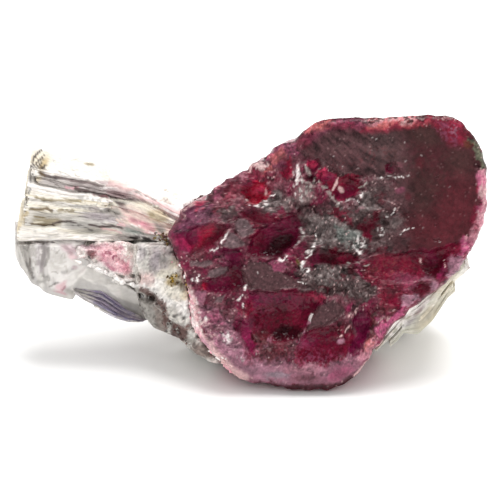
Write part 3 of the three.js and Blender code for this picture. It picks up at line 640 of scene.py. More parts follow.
    patch("deep", [(10.5, 0.4), (12, 0.9), (13.3, 1), (13, -0.6), (12.9, -1.5), (12, -3.1), (11.2, -2.3),
        (10.5, -2.2), (10.2, -1.2)], 1, 0.3),
    oval("wine", 11.2, -0.4, 0.6, 0.8, 10, 0.7, 0.5),
    oval("magenta", 12.35, -1.9, 0.3, 0.9, -15, 0.9, 0.4),
    patch("crimson", [(12.6, 0.9), (14.2, 1.1), (14.2, 0.2), (13.3, -0.3), (12.8, 0)], 0.95, 0.2),
    patch("deep", [(9, -3.9), (10.2, -3.1), (11, -3.3), (11.1, -4.2), (10.2, -4.6), (9.7, -4.9)], 1, 0.15),
    patch("garnet", [(5.5, -3.6), (7.4, -4.4), (7.6, -5.4), (6.8, -6), (6.2, -6.4),
        (5.4, -5.4)], 0.7, 0.35),
    oval("brick", 6.5, -6.2, 0.8, 0.6, 0, 0.9, 0.5),
    patch("garnet", [(-1.4, 8.6), (-1, 9.3), (-0.1, 9.1), (0.9, 8.6), (3, 8.6), (3.3, 7.6), (2.8, 6.6),
        (2.2, 6.1), (1, 5.7), (0.3, 6.6), (-0.4, 7.6)], 1, 0.12),
    oval("deep", 2.5, 7.7, 0.8, 0.6, 0, 0.8, 0.5),
    oval("plum", 1.6, 6.7, 1.2, 0.8, 10, 0.7, 0.6),
    oval("magenta", -0.2, 8.5, 0.8, 0.5, -20, 0.7, 0.6),
    oval("bright", -0.8, 8.8, 0.4, 0.3, 0, 0.7, 0.5),
    patch("wine", [(-2.6, 10), (-1.3, 10.2), (-1, 9.3), (-1.6, 8.9), (-2.5, 9.2)], 0.95, 0.15),
    oval("bright", -1.9, 9.65, 0.5, 0.3, 0, 1, 0.4),
    # frosted lilac and pink skins, low on the left and along the bottom
    patch("lilac", [(-15.2, -5.6), (-13.4, -5.4), (-12.2, -6), (-11, -7.2), (-9.9, -9), (-8.6, -11.6),
        (-9.6, -13.6), (-12.6, -12.2), (-15, -9)], 0.9, 0.3),
    patch("rose", [(-13.3, -6.2), (-12.2, -6.2), (-11.4, -7.4), (-12.3, -7.8), (-13.4, -7.2)], 0.8, 0.2),
    oval("mauve", -12.8, -8.4, 1, 0.5, -10, 0.6, 0.5),
    oval("rose", -12.2, -9.6, 0.4, 0.9, 20, 0.7, 0.5),
    patch("lilac", [(-10.6, -12.2), (-8, -11.6), (-5, -11.4), (-3.6, -12.1), (1, -12.2), (2.2, -11.2),
        (3.4, -11), (4.4, -11.6), (0, -16), (-9, -16)], 0.95, 0.3),
    patch("orchid", [(-9.8, -12.6), (-7, -12.2), (-3, -12.3), (1.2, -12.6), (2.8, -12.2), (1, -13.6),
        (-3, -14.2), (-8, -14)], 0.5, 0.4),
    oval("pink", -3.2, -12.6, 2.6, 0.4, 0, 0.6, 0.6),
    oval("orchid", -7.6, -12.7, 2, 0.5, 0, 0.6, 0.6),
    oval("heather", -6, -13.3, 1.3, 0.4, 0, 0.7, 0.6),
    oval("mauve", -2.6, -13.6, 1.6, 0.5, 0, 0.8, 0.6),
    oval("rose", 1, -13.2, 1.4, 0.6, 20, 0.8, 0.6),
    oval("brick", -7.4, -11.2, 1.4, 0.5, 0, 0.5, 0.6),
    patch("deep", [(-8.4, -14.5), (-5, -14.35), (0, -14.5), (2.4, -13.9), (1, -17), (-9, -17)], 0.95, 0.25),
    patch("orchid", [(-13.2, -9), (-11.2, -8.6), (-10.6, -9.5), (-8.9, -11.4), (-10.3, -12.5),
        (-12.1, -11)], 0.5, 0.12),
    # the right-hand rim, from the bottom up
    oval("pink", 4.4, -10.6, 1.6, 0.5, 55, 0.7, 0.4),
    oval("salmon", 4.5, -9.8, 0.4, 0.8, -20, 0.7, 0.5),
    patch("bloom", [(5.2, -9), (5.3, -7.5), (6.5, -7.2), (7.2, -6), (8.2, -6.2), (7.3, -7.2),
        (6.2, -8.6)], 0.9, 0.2),
    patch("orchid", [(7.8, -4.6), (8.7, -4.2), (9.3, -4.4), (9.6, -4.9), (9, -5.6), (8.2, -6.2),
        (7.7, -5.3)], 0.8, 0.1),
    oval("lilac", 10.6, -2.7, 0.5, 0.4, 0, 0.7, 0.4),
    oval("orchid", 11.5, -3.7, 0.4, 0.7, -30, 0.9, 0.4),
    patch("orchid", [(13, -0.4), (13.6, -0.1), (14.9, -0.1), (14.8, -1.2), (14, -2.1), (13, -2.8),
        (12.9, -1.4)], 0.85, 0.15),
    patch("bloom", [(14.1, 1.4), (14.8, 2.2), (15.7, 1.6), (15.3, 0.4), (14.6, 0), (14.3, 0.5)], 1, 0.3),
    sugar("pink", 15, 1.2, 0.5, 1, -25, 0.9, 0.5),
    oval("pink", 15.6, 2.2, 0.3, 0.9, -25, 0.8, 0.5),
    patch("pink", [(16.1, 9.2), (17.4, 9.2), (17.6, 5), (17, 2), (15.8, 1.2), (15.7, 2.4), (16.3, 3.8),
        (16.55, 6)], 0.95, 0.3),
    patch("crimson", [(15.5, 2.6), (15.3, 4), (16, 5.4), (16.3, 4.2), (16, 3)], 0.8, 0.3),
    oval("bloom", 16.4, 8, 0.3, 1, 8, 0.7, 0.5),
    oval("blush", 17, 6.6, 0.35, 1.2, 0, 0.7, 0.5),
    *(
        oval(name, u, v, 0.18, long, lean, 0.7, 0.5)
        for name, u, v, long, lean in (
            ("garnet", 16.3, 6.9, 0.5, 10),
            ("magenta", 16.35, 5.2, 0.7, -8),
            ("rose", 16.9, 8.4, 0.5, 20),
            ("blush", 16.6, 4.2, 0.6, -20),
            ("magenta", 16.9, 4.9, 0.5, -10),
            ("garnet", 16.1, 2.8, 0.5, -30),
            ("blush", 16.9, 2.9, 0.5, -15),
            ("rose", 17.2, 5.6, 0.5, 0),
        )
    ),
    patch("moss", [(15, 13.2), (16, 12.6), (17.2, 11), (17.4, 9), (16.4, 9.3), (16.2, 10.6),
        (15.8, 11.8)], 0.95, 0.15),
    oval("cherry", 16.1, 9.8, 0.25, 0.3, 0, 1, 0.4),
    oval("bronze", 15.2, 12.2, 0.4, 0.5, 0, 0.5, 0.5),
    vein("char", [(15.5, 12.9), (16.6, 11.5), (17.1, 10.2), (17.2, 9.2)], 0.14, 0.8, True),
    vein("cherry", [(-1, 14.75), (3, 14.8), (10, 14.85)], 0.16, 0.85, True),
    # a painted highlight along the top edge
    vein("blush", [(3.8, 15.05), (7, 15.1), (12.2, 15.3), (13.6, 14.9)], 0.1, 0.6, True),
    oval("bronze", -3.9, -0.95, 0.4, 0.55, 0, 1, 0.3),
    # more painted glow along the top edge
    oval("salmon", 7.7, 14.3, 3, 0.35, 0, 0.3, 0.6),
    oval("bright", -16.2, 1.3, 0.8, 0.6, 0, 0.2, 0.6),
    oval("orchid", -13.2, 4, 2.2, 0.5, 0, 0.2, 0.6),
]

# Dull flat plates on the face: smooth, and standing a little above what is round them. Their grey-mauve is
# partly a painted sheen off their flat tops.
PLATES = [
    patch("dusk", [(-9.9, -1.6), (-9.3, -1.6), (-8.8, -0.8), (-7, -1), (-6.3, -1.5), (-4.4, -2.5),
        (-3, -3.1), (-2, -3.9), (-3.4, -3.8), (-5, -3.9), (-6, -4.3), (-6.6, -3.9), (-8.6, -3.9),
        (-9.3, -3.5), (-9.8, -2.4)], 1, 0.1),
    patch("dusk", [(-1.9, -6.4), (-1.4, -5.7), (0.4, -5.1), (1.2, -5.5), (1.7, -6.2), (0.9, -7.1),
        (-0.3, -7.9), (-1.7, -8.3), (-2.7, -8.4), (-2.4, -7.4)], 1, 0.1),
    patch("taupe", [(-12.1, 1), (-11.5, 1.5), (-10.9, 2.4), (-10.2, 2.1), (-9.4, 1.1), (-9.9, 0.8),
        (-10.9, 0.65)], 1, 0.1),
    patch("taupe", [(-10.5, 3.4), (-10, 4), (-9, 3.8), (-8.3, 2.4), (-9.5, 1.9), (-10.4, 2.5)], 1, 0.1),
    patch("taupe", [(-15.4, -0.8), (-13.2, -0.7), (-12.8, -1), (-13.3, -1.3), (-15.2, -1.3)], 0.9, 0.12),
    patch("taupe", [(-13.2, -1.7), (-11.1, -1.5), (-11.6, -2.3), (-12.6, -2.6), (-13.5, -2.4)], 1, 0.12),
    patch("lilac", [(-15.1, -4.6), (-14.9, -4), (-13.6, -4.1), (-14, -5.7), (-14.9, -5.4),
        (-15.3, -5)], 0.9, 0.1),
    patch("taupe", [(-12.9, -5.4), (-12.2, -4.6), (-11.5, -4.4), (-11.9, -5.3)], 0.9, 0.12),
    patch("rose", [(-6.8, -1), (-6.2, -0.5), (-5, -0.6), (-4.6, -1.4), (-5.1, -2), (-6, -1.9)], 0.8, 0.12),
]

# Sugary white cracks and bright broken edges, with a few painted highlights and a dark line of painted shade
FROST_AND_PAINTED_LIGHT = [
    patch("frost", [(-3.75, 9.9), (-3.5, 9.9), (-3.35, 9.2), (-3.4, 8.5), (-3.75, 8.1)], 0.7, 0.1),
    sugar("frost", -3.6, 8.4, 0.4, 0.9, 10, 0.7, 0.5),
    sugar("frost", -3.4, 7, 0.7, 1.2, 8, 0.8, 0.4),
    sugar("ash", -2.6, 7.2, 1.3, 0.9, -30, 0.7, 0.5),
    oval("ash", -2.9, 6.6, 1.1, 0.9, 10, 0.35, 0.6),
    vein("ash", [(-2.8, 9.6), (-1.8, 8.3), (-0.7, 7.4), (0.1, 6.6), (0.8, 5.5)], 0.26, 0.8),
    vein("ash", [(-1.1, 9.4), (-1.9, 8.6)], 0.13, 0.8),
    patch("blush", [(0.2, 7), (0.6, 8), (0.95, 8.5), (0.8, 7.6), (0.5, 7.1)], 0.9, 0.08),
    oval("blush", 1.2, 7.1, 0.25, 0.4, 30, 0.8, 0.4),
    vein("frost", [(1, 5.6), (1.8, 5.9), (2.9, 6), (3.3, 5.7)], 0.11, 0.7),
    vein("ash", [(3.1, 7.3), (3.6, 7.4), (3.9, 7.8)], 0.11),
    sugar("frost", 3.3, 6.5, 0.25, 0.4, 0, 1, 0.4),
    vein("frost", [(-9.2, 6.1), (-8.8, 5.5), (-8.5, 5.35), (-7.95, 5.3), (-7.5, 5.7), (-6.9, 5.95),
        (-6.3, 6.4), (-5.9, 6.7)], 0.1, 0.9),
    sugar("frost", -7.2, 5.4, 0.5, 0.2, 15, 0.9, 0.5),
    # a small painted highlight in the red hollow
    oval("blush", -7.05, 6.8, 0.1, 0.4, 0, 0.8, 0.4),
    vein("frost", [(-13.3, 0.2), (-12.6, 0.5), (-12.1, 1), (-11.5, 1.9), (-11, 2.6)], 0.11, 0.9),
    vein("frost", [(-3.2, 2.9), (-3, 2.2), (-3.3, 1.5), (-3.9, 0.7)], 0.12, 0.8),
    sugar("ash", -3.1, 2.1, 0.35, 0.7, -10, 0.7, 0.5),
    vein("frost", [(-1.7, 2.1), (-1.6, 1.4), (-2, 0.5), (-2.2, -0.2), (-2.8, -0.6), (-3.2, -1.9)], 0.13),
    sugar("frost", -2.5, 0.3, 0.35, 0.3, 0, 0.9, 0.4),
    sugar("frost", -5.1, -0.5, 0.6, 0.3, 20, 0.9, 0.4),
    sugar("frost", -2.6, -1.8, 0.35, 0.3, 0, 1, 0.4),
    vein("frost", [(-3.6, -3), (-3.2, -3.2), (-2.6, -3.2)], 0.11),
    vein("frost", [(2.7, 3.9), (2.6, 2.7)], 0.09, 0.8),
    vein("frost", [(2.6, 0.9), (3.3, 0.1)], 0.16, 0.9),
    sugar("frost", 3.3, 1.2, 0.5, 0.9, 25, 0.7, 0.5),
    sugar("frost", 5.6, 2.5, 0.3, 0.5, 10, 1, 0.4),
    vein("frost", [(6.2, 4.1), (6.8, 4.4), (7.2, 5.1)], 0.11),
    vein("frost", [(7.7, 2.2), (8.4, 2.7), (9.2, 2.95)], 0.11, 0.8),
    vein("frost", [(5.5, 8.4), (6.4, 8.55), (7.3, 8.35), (8.7, 8.6)], 0.08, 0.8),
    vein("ash", [(2, -0.9), (2.6, -1), (3.3, -1.1)], 0.11),
    vein("ash", [(3.6, -1.3), (4.5, -1.2)], 0.13),
    vein("blush", [(2, -6.8), (2.7, -6.4), (3, -6)], 0.15, 0.9),
    vein("blush", [(0.9, -9.2), (1.5, -8.8), (2.1, -8)], 0.11, 0.9),
    oval("orchid", 1.2, -9.6, 0.4, 0.3, 20, 0.7, 0.4),
    vein("frost", [(-2.2, -7.2), (-1.95, -6.6)], 0.15, 1, True),
    vein("orchid", [(-3.6, -10), (-3.1, -9), (-2.8, -8.3), (-2.3, -7.4)], 0.09, 0.6),
    vein("frost", [(-15.1, -2.7), (-14.8, -3.3), (-14.4, -2.5)], 0.16),
    vein("frost", [(-10.1, -5.1), (-9.6, -4.4), (-9.3, -3.5)], 0.13),
    oval("frost", -9.6, -5.65, 0.12, 0.28, 0, 0.9, 0.4),
    oval("frost", -13.6, -7.1, 0.12, 0.3, 0, 0.9, 0.4),
    sugar("frost", -11.3, -9.2, 0.5, 0.6, 0, 0.7, 0.5),
    sugar("frost", -9.8, -11.4, 0.4, 0.4, 0, 0.5, 0.5),
    vein("blush", [(9.9, -0.3), (10.1, -1.2)], 0.09, 0.8),
    vein("blush", [(12.6, -0.7), (12.6, -1.5)], 0.11, 0.8),
    sugar("blush", 6, -7.3, 0.9, 0.3, 10, 0.4, 0.5),
    sugar("pink", 4.8, -9.4, 0.4, 1.4, -35, 0.4, 0.5),
    vein("blush", [(2.6, -13.4), (4.3, -11.6), (5.9, -9.5), (7.6, -7.5), (9.4, -5.9),
        (10.9, -4.7)], 0.14, 0.7, True),
    # the pale fringe along the lower left
    patch("blush", [(-16.6, -3), (-15.4, -3.6), (-14.7, -5.2), (-14.2, -7), (-14.1, -8.4), (-13.1, -9.6),
        (-12, -11), (-10.5, -12.3), (-8.8, -13.4), (-9.4, -14.8), (-12.6, -13.4), (-14.8, -10.6),
        (-16.6, -7)], 0.6, 0.3),
    sugar("snow", -14.7, -6.8, 0.6, 2.4, 15, 0.6, 0.5),
    sugar("blush", -13.4, -8.4, 0.8, 1.6, 25, 0.5, 0.5),
    oval("snow", -14.9, -8.1, 0.4, 1.1, 12, 0.5, 0.5),
    oval("pink", -14.4, -8.9, 0.3, 0.9, 20, 0.6, 0.5),
    oval("orchid", -13.7, -9.9, 0.35, 0.8, 30, 0.7, 0.5),
    oval("pink", -15.3, -5.4, 0.35, 0.9, 5, 0.5, 0.5),
    oval("snow", -12.9, -11.4, 0.4, 0.9, 42, 0.5, 0.5),
    oval("pink", -11.4, -12.6, 0.8, 0.3, -40, 0.6, 0.5),
    vein("snow", [(-15.6, -4.2), (-15.3, -5.8), (-15, -7.2)], 0.12, 0.7),
    vein("wine", [(-14.6, -6.4), (-14.2, -7.9), (-13.4, -9.3)], 0.1, 0.6),
    # a dark edge underneath: painted shade along the bottom rim, next to the floor
    vein("cherry", [(-8, -14.5), (-5, -14.75), (-2, -14.8), (0.6, -14.5), (2.4, -13.7)], 0.42, 0.85, True),
]

# White crumbs
CRUMBS = [
    (-12.05, 4.0), (-8.3, 2.7), (-8.55, 3.15), (-12.3, 0.8), (-7.95, -2.05), (0.4, -1.5), (0.2, -2.3),
    (-3.1, -2.8), (-15.8, -0.2), (-15.8, -0.75), (-6.9, -0.1), (-6.7, -11.3), (-10.2, -9.2), (-8.1, -11),
    (5.3, -7.5), (6.6, -7.2), (8.3, 10.2), (10.0, 10.8), (1.4, 9.6), (0.4, 10.7), (8.2, 12.3), (5.1, 12.6),
    (4.6, 12.8), (10.2, 2.9), (7.9, 2.4), (3.1, 9.4), (12.1, 1.3), (13.1, 7.4), (9.6, 8.9), (8.2, 14.5),
    (-0.2, 9.2), (-9.4, 3.0), (-4.3, 9.5), (-9.4, -1.3),
]

# The bumpy upper left edge of the face
UPPER_LEFT = [
    (-17.75, 2.5), (-16.6, 4.0), (-16.4, 4.8), (-15.9, 5.35), (-15.0, 5.75), (-14.2, 6.05), (-13.75, 6.0),
    (-13.5, 6.45), (-13.0, 7.0), (-12.2, 7.65), (-11.6, 7.95), (-11.4, 8.25), (-10.6, 8.45), (-10.2, 8.75),
    (-9.8, 9.1), (-9.0, 9.25), (-8.9, 9.65), (-8.5, 10.05), (-7.8, 10.25), (-7.3, 10.25), (-7.25, 10.6),
    (-6.7, 11.05), (-6.4, 11.2), (-6.15, 11.75), (-5.4, 12.15), (-4.3, 12.35), (-3.95, 12.4), (-3.6, 12.85),
    (-2.9, 13.55), (-1.5, 14.5), (-0.6, 14.85),
]


# ---------------------------------------------------------------- the tourmaline's shape


def disc_grid(cells):
    """A square grid drawn round into a disc, as an angle and a share of the radius."""
    line = np.linspace(-1, 1, cells + 1)
    a, b = np.meshgrid(line, line, indexing="ij")
    wide = np.abs(a) > np.abs(b)
    with np.errstate(divide="ignore", invalid="ignore"):
        angle = np.where(wide, math.pi / 4 * b / a, math.pi / 2 - math.pi / 4 * a / b)
    angle = np.nan_to_num(angle)
    share = np.where(wide, a, b)
    angle = np.where(share < 0, angle + math.pi, angle)
    return np.mod(angle, 2 * math.pi), np.abs(share)


def boundary(cells):
    """The grid's outer vertices, in order round the disc."""
    n = cells + 1
    index = np.arange(n * n).reshape(n, n)
    return np.concatenate([index[:-1, 0], index[-1, :-1], index[:0:-1, -1], index[0, :0:-1]])


def soften(values, passes):
    """Averages a grid with its neighbours."""
    rows, columns = values.shape
    for _ in range(passes):
        padded = np.pad(values, 1, mode="edge")
        steps = itertools.product(range(3), repeat=2)
        values = sum(padded[i : i + rows, j : j + columns] for i, j in steps) / 9
    return values


def turned(u, v, height):
    """How a grid's surface is turned at each place, as unit normals."""
    first, second = (np.stack([np.gradient(a, axis=k) for a in (u, v, height)], -1) for k in (0, 1))
    normal = np.cross(first, second)
    normal /= np.linalg.norm(normal, axis=-1, keepdims=True) + 1e-12
    return normal * np.sign(normal[..., 2:])


def strewn(number, size):
    """A short step in some direction, the same for one facet's every place."""
    way = 2 * math.pi * np.mod(number * 7.13, 1)
    return size * np.stack([np.cos(way), np.sin(way)], axis=-1)


def side_reach(tree, outward, level):
    """How far the crystal's side lies from its axis; OUTSIDE where a ray misses it."""
    starts = outward * OUTSIDE
    starts[:, 2] = level
    hits, _ = cast(tree, starts, -outward, 0)
    return np.hypot(hits[:, 0], hits[:, 1])


class Face:
    """The crystal's broken face, as a grid of places over a disc."""

    def __init__(self, tree):
        """The prism's outline, seen along its axis, and the grid inside it."""
        self.rim = boundary(FACE_CELLS)
        self.angle, self.share = disc_grid(FACE_CELLS)
        self.rim_angle = self.angle.ravel()[self.rim]
        across = [np.cos(self.rim_angle), np.sin(self.rim_angle), 0 * self.rim_angle]
        self.outward = np.stack(across, axis=-1)
        self.radius = side_reach(tree, self.outward, RIM_LEVEL)
        self.reach = self.over_grid(self.radius)
        self.u = self.share * self.reach * np.cos(self.angle)
        self.v = self.share * self.reach * np.sin(self.angle)
        self.flat = np.stack([self.u, self.v], axis=-1)
        # the worn hem along the bottom, and where there is room for relief
        self.hem = smoothstep(-11.2, -13.2, self.v)
        self.calm = (1 - self.share**10) * (1 - 0.8 * self.hem)
        self.shaken = wander(wander(self.flat, 0.28, 0.9, 5), 0.07, 4.0, 8)
        self.place = wander(wander(self.flat, 0.2, 1.0, 61), 0.09, 3.2, 65)

    def over_grid(self, values):
        """The rim's values carried inward over the whole grid."""
        order = np.argsort(self.rim_angle)
        return np.interp(self.angle, self.rim_angle[order], values[order], period=2 * math.pi)

    def find_ground(self, tree):
        """The face as the CAD has it, and masks for what kind of ground each place is: the level
        table, the clear pits, the dull plates and the rough rest."""
        # looked up at slightly shaken places, so that no edge is straight
        looked = self.flat * np.where(self.share > 0.998, 0.998, 1.0)[..., None]
        looked = looked + (self.shaken - self.flat) * self.calm[..., None]
        starts = np.concatenate([looked.reshape(-1, 2), np.full((looked.size // 2, 1), ABOVE)], axis=1)
        down = np.tile([0.0, 0.0, -1.0], (len(starts), 1))
        hits, normals = cast(tree, starts, down, PIT_FLOOR)
        found, level = (values[:, 2].reshape(self.share.shape) for values in (hits, normals))
        height = soften(found, 1)
        on_table = (np.abs(found - TABLE_HEIGHT) < 0.01) & (level > 0.999)
        self.table = soften(on_table.astype(float), 2)
        self.smooth = soften(self.table, 10)
        self.pit = soften(smoothstep(-0.1, -0.5, height) * (self.share < 0.955), 1)
        self.plate = np.max([cover(self.place) for _, cover in PLATES], axis=0)
        fade = smoothstep(4.6, 8.4, self.u) * smoothstep(-0.5, 1, self.v)
        rough = np.clip(1 - self.table - self.pit, 0, 1) * (1 - 0.9 * self.plate) * (1 - 0.8 * fade)
        self.rough = rough * (1 - 0.55 * self.hem)
        height = height + (0.55 * soften(height, 10) - height) * soften(self.pit, 3)
        # only the bottom of the rim is worn; elsewhere the face runs almost to the edge
        table_side = (self.u > -2) & (self.v > 1.2 - 0.1 * self.u) & (self.v > 11 - 1.1 * self.u)
        inward = (1 - self.share) * self.reach
        worn = smoothstep(-9.5, -12.5, self.v) * smoothstep(9, 3, self.u)
        full = np.where(table_side, TABLE_HEIGHT, 0.0) - CHIP_DEPTH * np.exp(-inward / CHIP_WIDTH)
        edge = smoothstep(2.6, 1.6, inward) * (1 - worn)
        self.height = height + edge * np.maximum(full - height, 0)

    def break_up(self):
        """Chips: facets at several scales, some cut off flat, and grain."""
        flat, table, pit, rough = self.flat, self.table, self.pit, self.rough
        blocks, _ = broken(wander(flat, 0.2, 1.1, 51) * 0.5, 101)
        chips, self.chip_number = broken(self.shaken * 1.15, 102)
        crumbs, self.crumb_number = broken(wander(flat, 0.22, 1.6, 53) * 2.5, 103)
        self.grit = fbm(flat * 3.0, 4, 21)
        # the rough ground, the crumbs and grain on it, and the broken floors of the pits
        relief = rough * (0.8 - 0.9 * np.maximum(blocks, 0.3) - 0.32 * np.maximum(chips, 0.2))
        relief += (rough + 0.5 * pit) * (0.05 * self.grit - 0.15 * crumbs)
        relief += pit * (1 - self.plate) * (0.2 - 0.3 * blocks - 0.14 * chips)
        # the table swells a little and has pocks
        swell = fbm(flat * np.array([0.12, 0.3]), 3, 33)
        pocks = smoothstep(0.72, 0.85, noise(flat * 1.3, 71)) * smoothstep(0.0, 0.4, noise(flat * 3.1, 72))
        relief += table * (0.06 * swell + 0.004 * fbm(flat * 2.2, 2, 41) - 0.1 * pocks)
        self.relief = relief
        self.height = self.height + (relief + 0.4 * self.plate * (1 - table)) * self.calm
        # the rim is evened out, because the sides start from it
        rim_height = self.height.ravel()[self.rim]
        for _ in range(6):
            rim_height = (np.roll(rim_height, 1) + rim_height + np.roll(rim_height, -1)) / 3
        self.height.ravel()[self.rim] = rim_height

    def brightness(self, crest_highlight, crevice_shade, tilt):
        """How light each place is: its own tone, with painted light from the relief. A facet turned up is
        painted paler, its crests get a painted highlight and its crevices painted shade.
        """
        u, v, flat, smooth, rough = self.u, self.v, self.flat, self.smooth, self.rough
        light = 1 + 0.55 * (self.chip_number - 0.5) * (1 - smooth) * (1 - self.plate)
        # painted light: a highlight on crests, shade in crevices, and facets turned up paler
        light = light + 0.45 * (self.crumb_number - 0.5) * rough + 0.14 * crest_highlight - 0.36 * crevice_shade
        light = light + 0.22 * self.grit * (1 - 0.6 * smooth) + 0.4 * np.clip(tilt, -0.8, 0.5)
        light = light + (0.2 + 0.3 * rough) * (hashed(lattice(flat * 6), 111) - 0.5)
        light = light + smooth * (0.3 * fbm(flat * 0.8, 4, 112) + 0.3 * fbm(flat * 2.6, 4, 117))
        # the left of the table is scored and streaky
        slant = np.stack([(u - 0.8 * v) * 0.5, (0.8 * u + v) * 2.0], axis=-1)
        score = smoothstep(0.12, 0.02, np.abs(noise(slant, 118)))
        score = score + smoothstep(0.1, 0.02, np.abs(noise(slant * 1.9, 119)))
        streaky = smooth * smoothstep(11, 5, u)
        light = light + streaky * (0.8 * fbm(slant * 1.3, 4, 120) - 0.34 * score)
        # the clear hollows are deeper in colour, in clouds
        return light * (1 - self.pit * (0.12 - 0.3 * fbm(flat * 0.55, 3, 116)))

    def colours(self):
        """The colour of each place, with painted light from the relief: highlights, sheen and shade. A facet
        takes one from near by.
        """
        flat, place, smooth, pit, rough = self.flat, self.place, self.smooth, self.pit, self.rough
        loose = ((1 - smooth) * (1 - self.plate) * (1 - 0.6 * pit))[..., None]
        chipped = place + loose * (strewn(self.chip_number, 0.3) + strewn(self.crumb_number, 0.2))
        ground = fbm(flat * 0.7, 3, 115)[..., None]
        base = blend(COLOURS["wine"], COLOURS["mauve"], smoothstep(-0.4, 0.5, ground))
        colour = painted(place, painted(chipped, base, FACE_PAINT), PLATES)

        # where the relief gets painted light: its crests, its crevices and how far each facet is turned up
        stands = self.relief - soften(self.relief, 4)
        crevice_shade = smoothstep(-0.02, -0.2, stands) * (1 - smooth)
        crest_highlight = smoothstep(0.04, 0.18, stands) * (1 - smooth)
        tilt = turned(self.u, self.v, self.relief)[..., 1] * (1 - smooth)
        light = self.brightness(crest_highlight, crevice_shade, tilt)

        # a painted sheen, towards pale grey: on pale flecks, on crests and on facets turned up
        greyness = smoothstep(0.6, 0.25, 1 - colour[..., 1] / colour[..., 0])
        fleck = smoothstep(0.62, 0.95, self.crumb_number + 0.4 * self.grit) * rough * (0.15 + greyness)
        sheen = 0.28 * fleck + 0.12 * crest_highlight * rough + 0.2 * smoothstep(0.2, 0.6, tilt) * (1 - pit)
        colour = blend(colour, COLOURS["dove"], np.clip(sheen * self.calm, 0, 0.6)[..., None])
        colour = colour * np.maximum(light, 0.25)[..., None] * FACE_SHADE

        # frost and crumbs on the broken edges, with that list's painted highlights and shade, and painted
        # sparks where a grain would catch the light
        dots = [oval("frost", u, v, 0.07, 0.07, 0, 0.35, 0.5) for u, v in CRUMBS]
        colour = painted(wander(flat, 0.1, 3.2, 65), colour, FROST_AND_PAINTED_LIGHT + dots)
        spark = hashed(lattice(flat * 7), 113)
        spark = spark - 0.012 * smooth - 0.02 * pit + 0.006 * greyness * (1 - smooth)
        spark = 0.5 * smoothstep(0.97, 1.0, spark)
        spark = spark * (1 - 0.6 * pit) * (1 - 0.55 * smooth) * (1 - 0.6 * self.plate)
        return blend(colour, COLOURS["blush"], spark[..., None]).reshape(-1, 3)

    def bumps(self):
        """How far the rim is moved out to follow the upper left edge."""
        corners = np.array(UPPER_LEFT)
        corner_angle = np.arctan2(corners[:, 1], corners[:, 0])[::-1]
        corner_reach = np.hypot(corners[:, 0], corners[:, 1])[::-1]
        gained = np.interp(self.rim_angle, corner_angle, corner_reach) - self.radius
        return gained * ((self.rim_angle > corner_angle[0]) & (self.rim_angle < corner_angle[-1]))

    def points(self, bumps):
        """The grid's places, with the rim's ridges run out at its edge."""
        out = ridged(self.angle, 0 * self.angle, self.over_grid(bumps))
        out = out * smoothstep(0.6, 1.0, self.share) ** 3
        u = self.u + out * np.cos(self.angle)
        v = self.v + out * np.sin(self.angle)
        return np.stack([u, v, self.height], axis=-1).reshape(-1, 3)


def ridged(angles, level, bumps):
    """How far the prism's side is moved out: fine ridges along it, swellings and lumps."""
    arc = [CRYSTAL_RADIUS * np.cos(angles), CRYSTAL_RADIUS * np.sin(angles), 0.12 * level]
    arc = np.stack(arc, axis=-1)
    upper_left = 1 - smoothstep(25, 45, np.abs(np.degrees(angles) - 140))
    lumps = 0.4 * upper_left * smoothstep(0, -3, level) * noise(arc * np.array([0.5, 0.5, 2.4]), 93)
    low = smoothstep(-0.1, -0.5, np.sin(angles))
    even = np.maximum(low, 0.7 * smoothstep(0.5, 0.8, np.sin(angles)))
    striae = 0.09 * noise(arc * 1.9, 91) + 0.05 * noise(arc * 4.5, 92)
    swelling = 0.22 * low * noise(arc * 0.55, 94)
    return striae * (1 - 0.8 * even) + swelling + lumps + bumps * np.exp(level / 4)


def side_rings(tree, face, bumps):
    """The crystal's sides, ring by ring, and its broken back."""
    up = np.array([[0.0, 0.0, 1.0]])
    back = cast(tree, [[*BACK_PROBE, -OUTSIDE]], up, BACK_LEVEL)[0][0, 2] + 0.6
    edge = face.height.ravel()[face.rim]
    rings = []
    for ring in range(1, SIDE_RINGS + 1):
        level = edge + (back - edge) * ring / SIDE_RINGS
        found = side_reach(tree, face.outward, level)
        found = np.where(found > OUTSIDE - 1, face.radius, found)
        side = face.outward * (found + ridged(face.rim_angle, level, bumps))[:, None]
        side[:, 2] = level
        rings.append(side)
    for ring in range(1, BACK_RINGS + 1):
        place = rings[SIDE_RINGS - 1] * max(1 - ring / BACK_RINGS, 0.004)
        place[:, 2] = -OUTSIDE
        hits, _ = cast(tree, place, np.repeat(up, len(place), axis=0), back)
        place[:, 2] = hits[:, 2] - 0.3 * broken(place[:, :2] * 0.5, 105)[0]
        rings.append(place)
    return rings


def side_colours(sides, rim_colour):
    """Striped along the prism. The rim's own colour runs a little way down from it."""
    arc = np.degrees(np.arctan2(sides[:, 1], sides[:, 0]))
    coarse, fine = (noise(np.stack([arc * size, 0 * arc], -1), seed) for size, seed in ((0.5, 95), (1.6, 96)))
    colour = COLOURS["crimson"] * (1 + 0.3 * (coarse + 0.6 * fine))[:, None]
    pale = 0.5 * smoothstep(-2, -6, sides[:, 2]) * smoothstep(0.2, 0.9, noise(sides * 0.4, 97))
    colour = blend(colour, COLOURS["lilac"], pale[:, None])
    return blend(colour, rim_colour, np.clip(1 + sides[:, 2:] / 2.5, 0, 1))


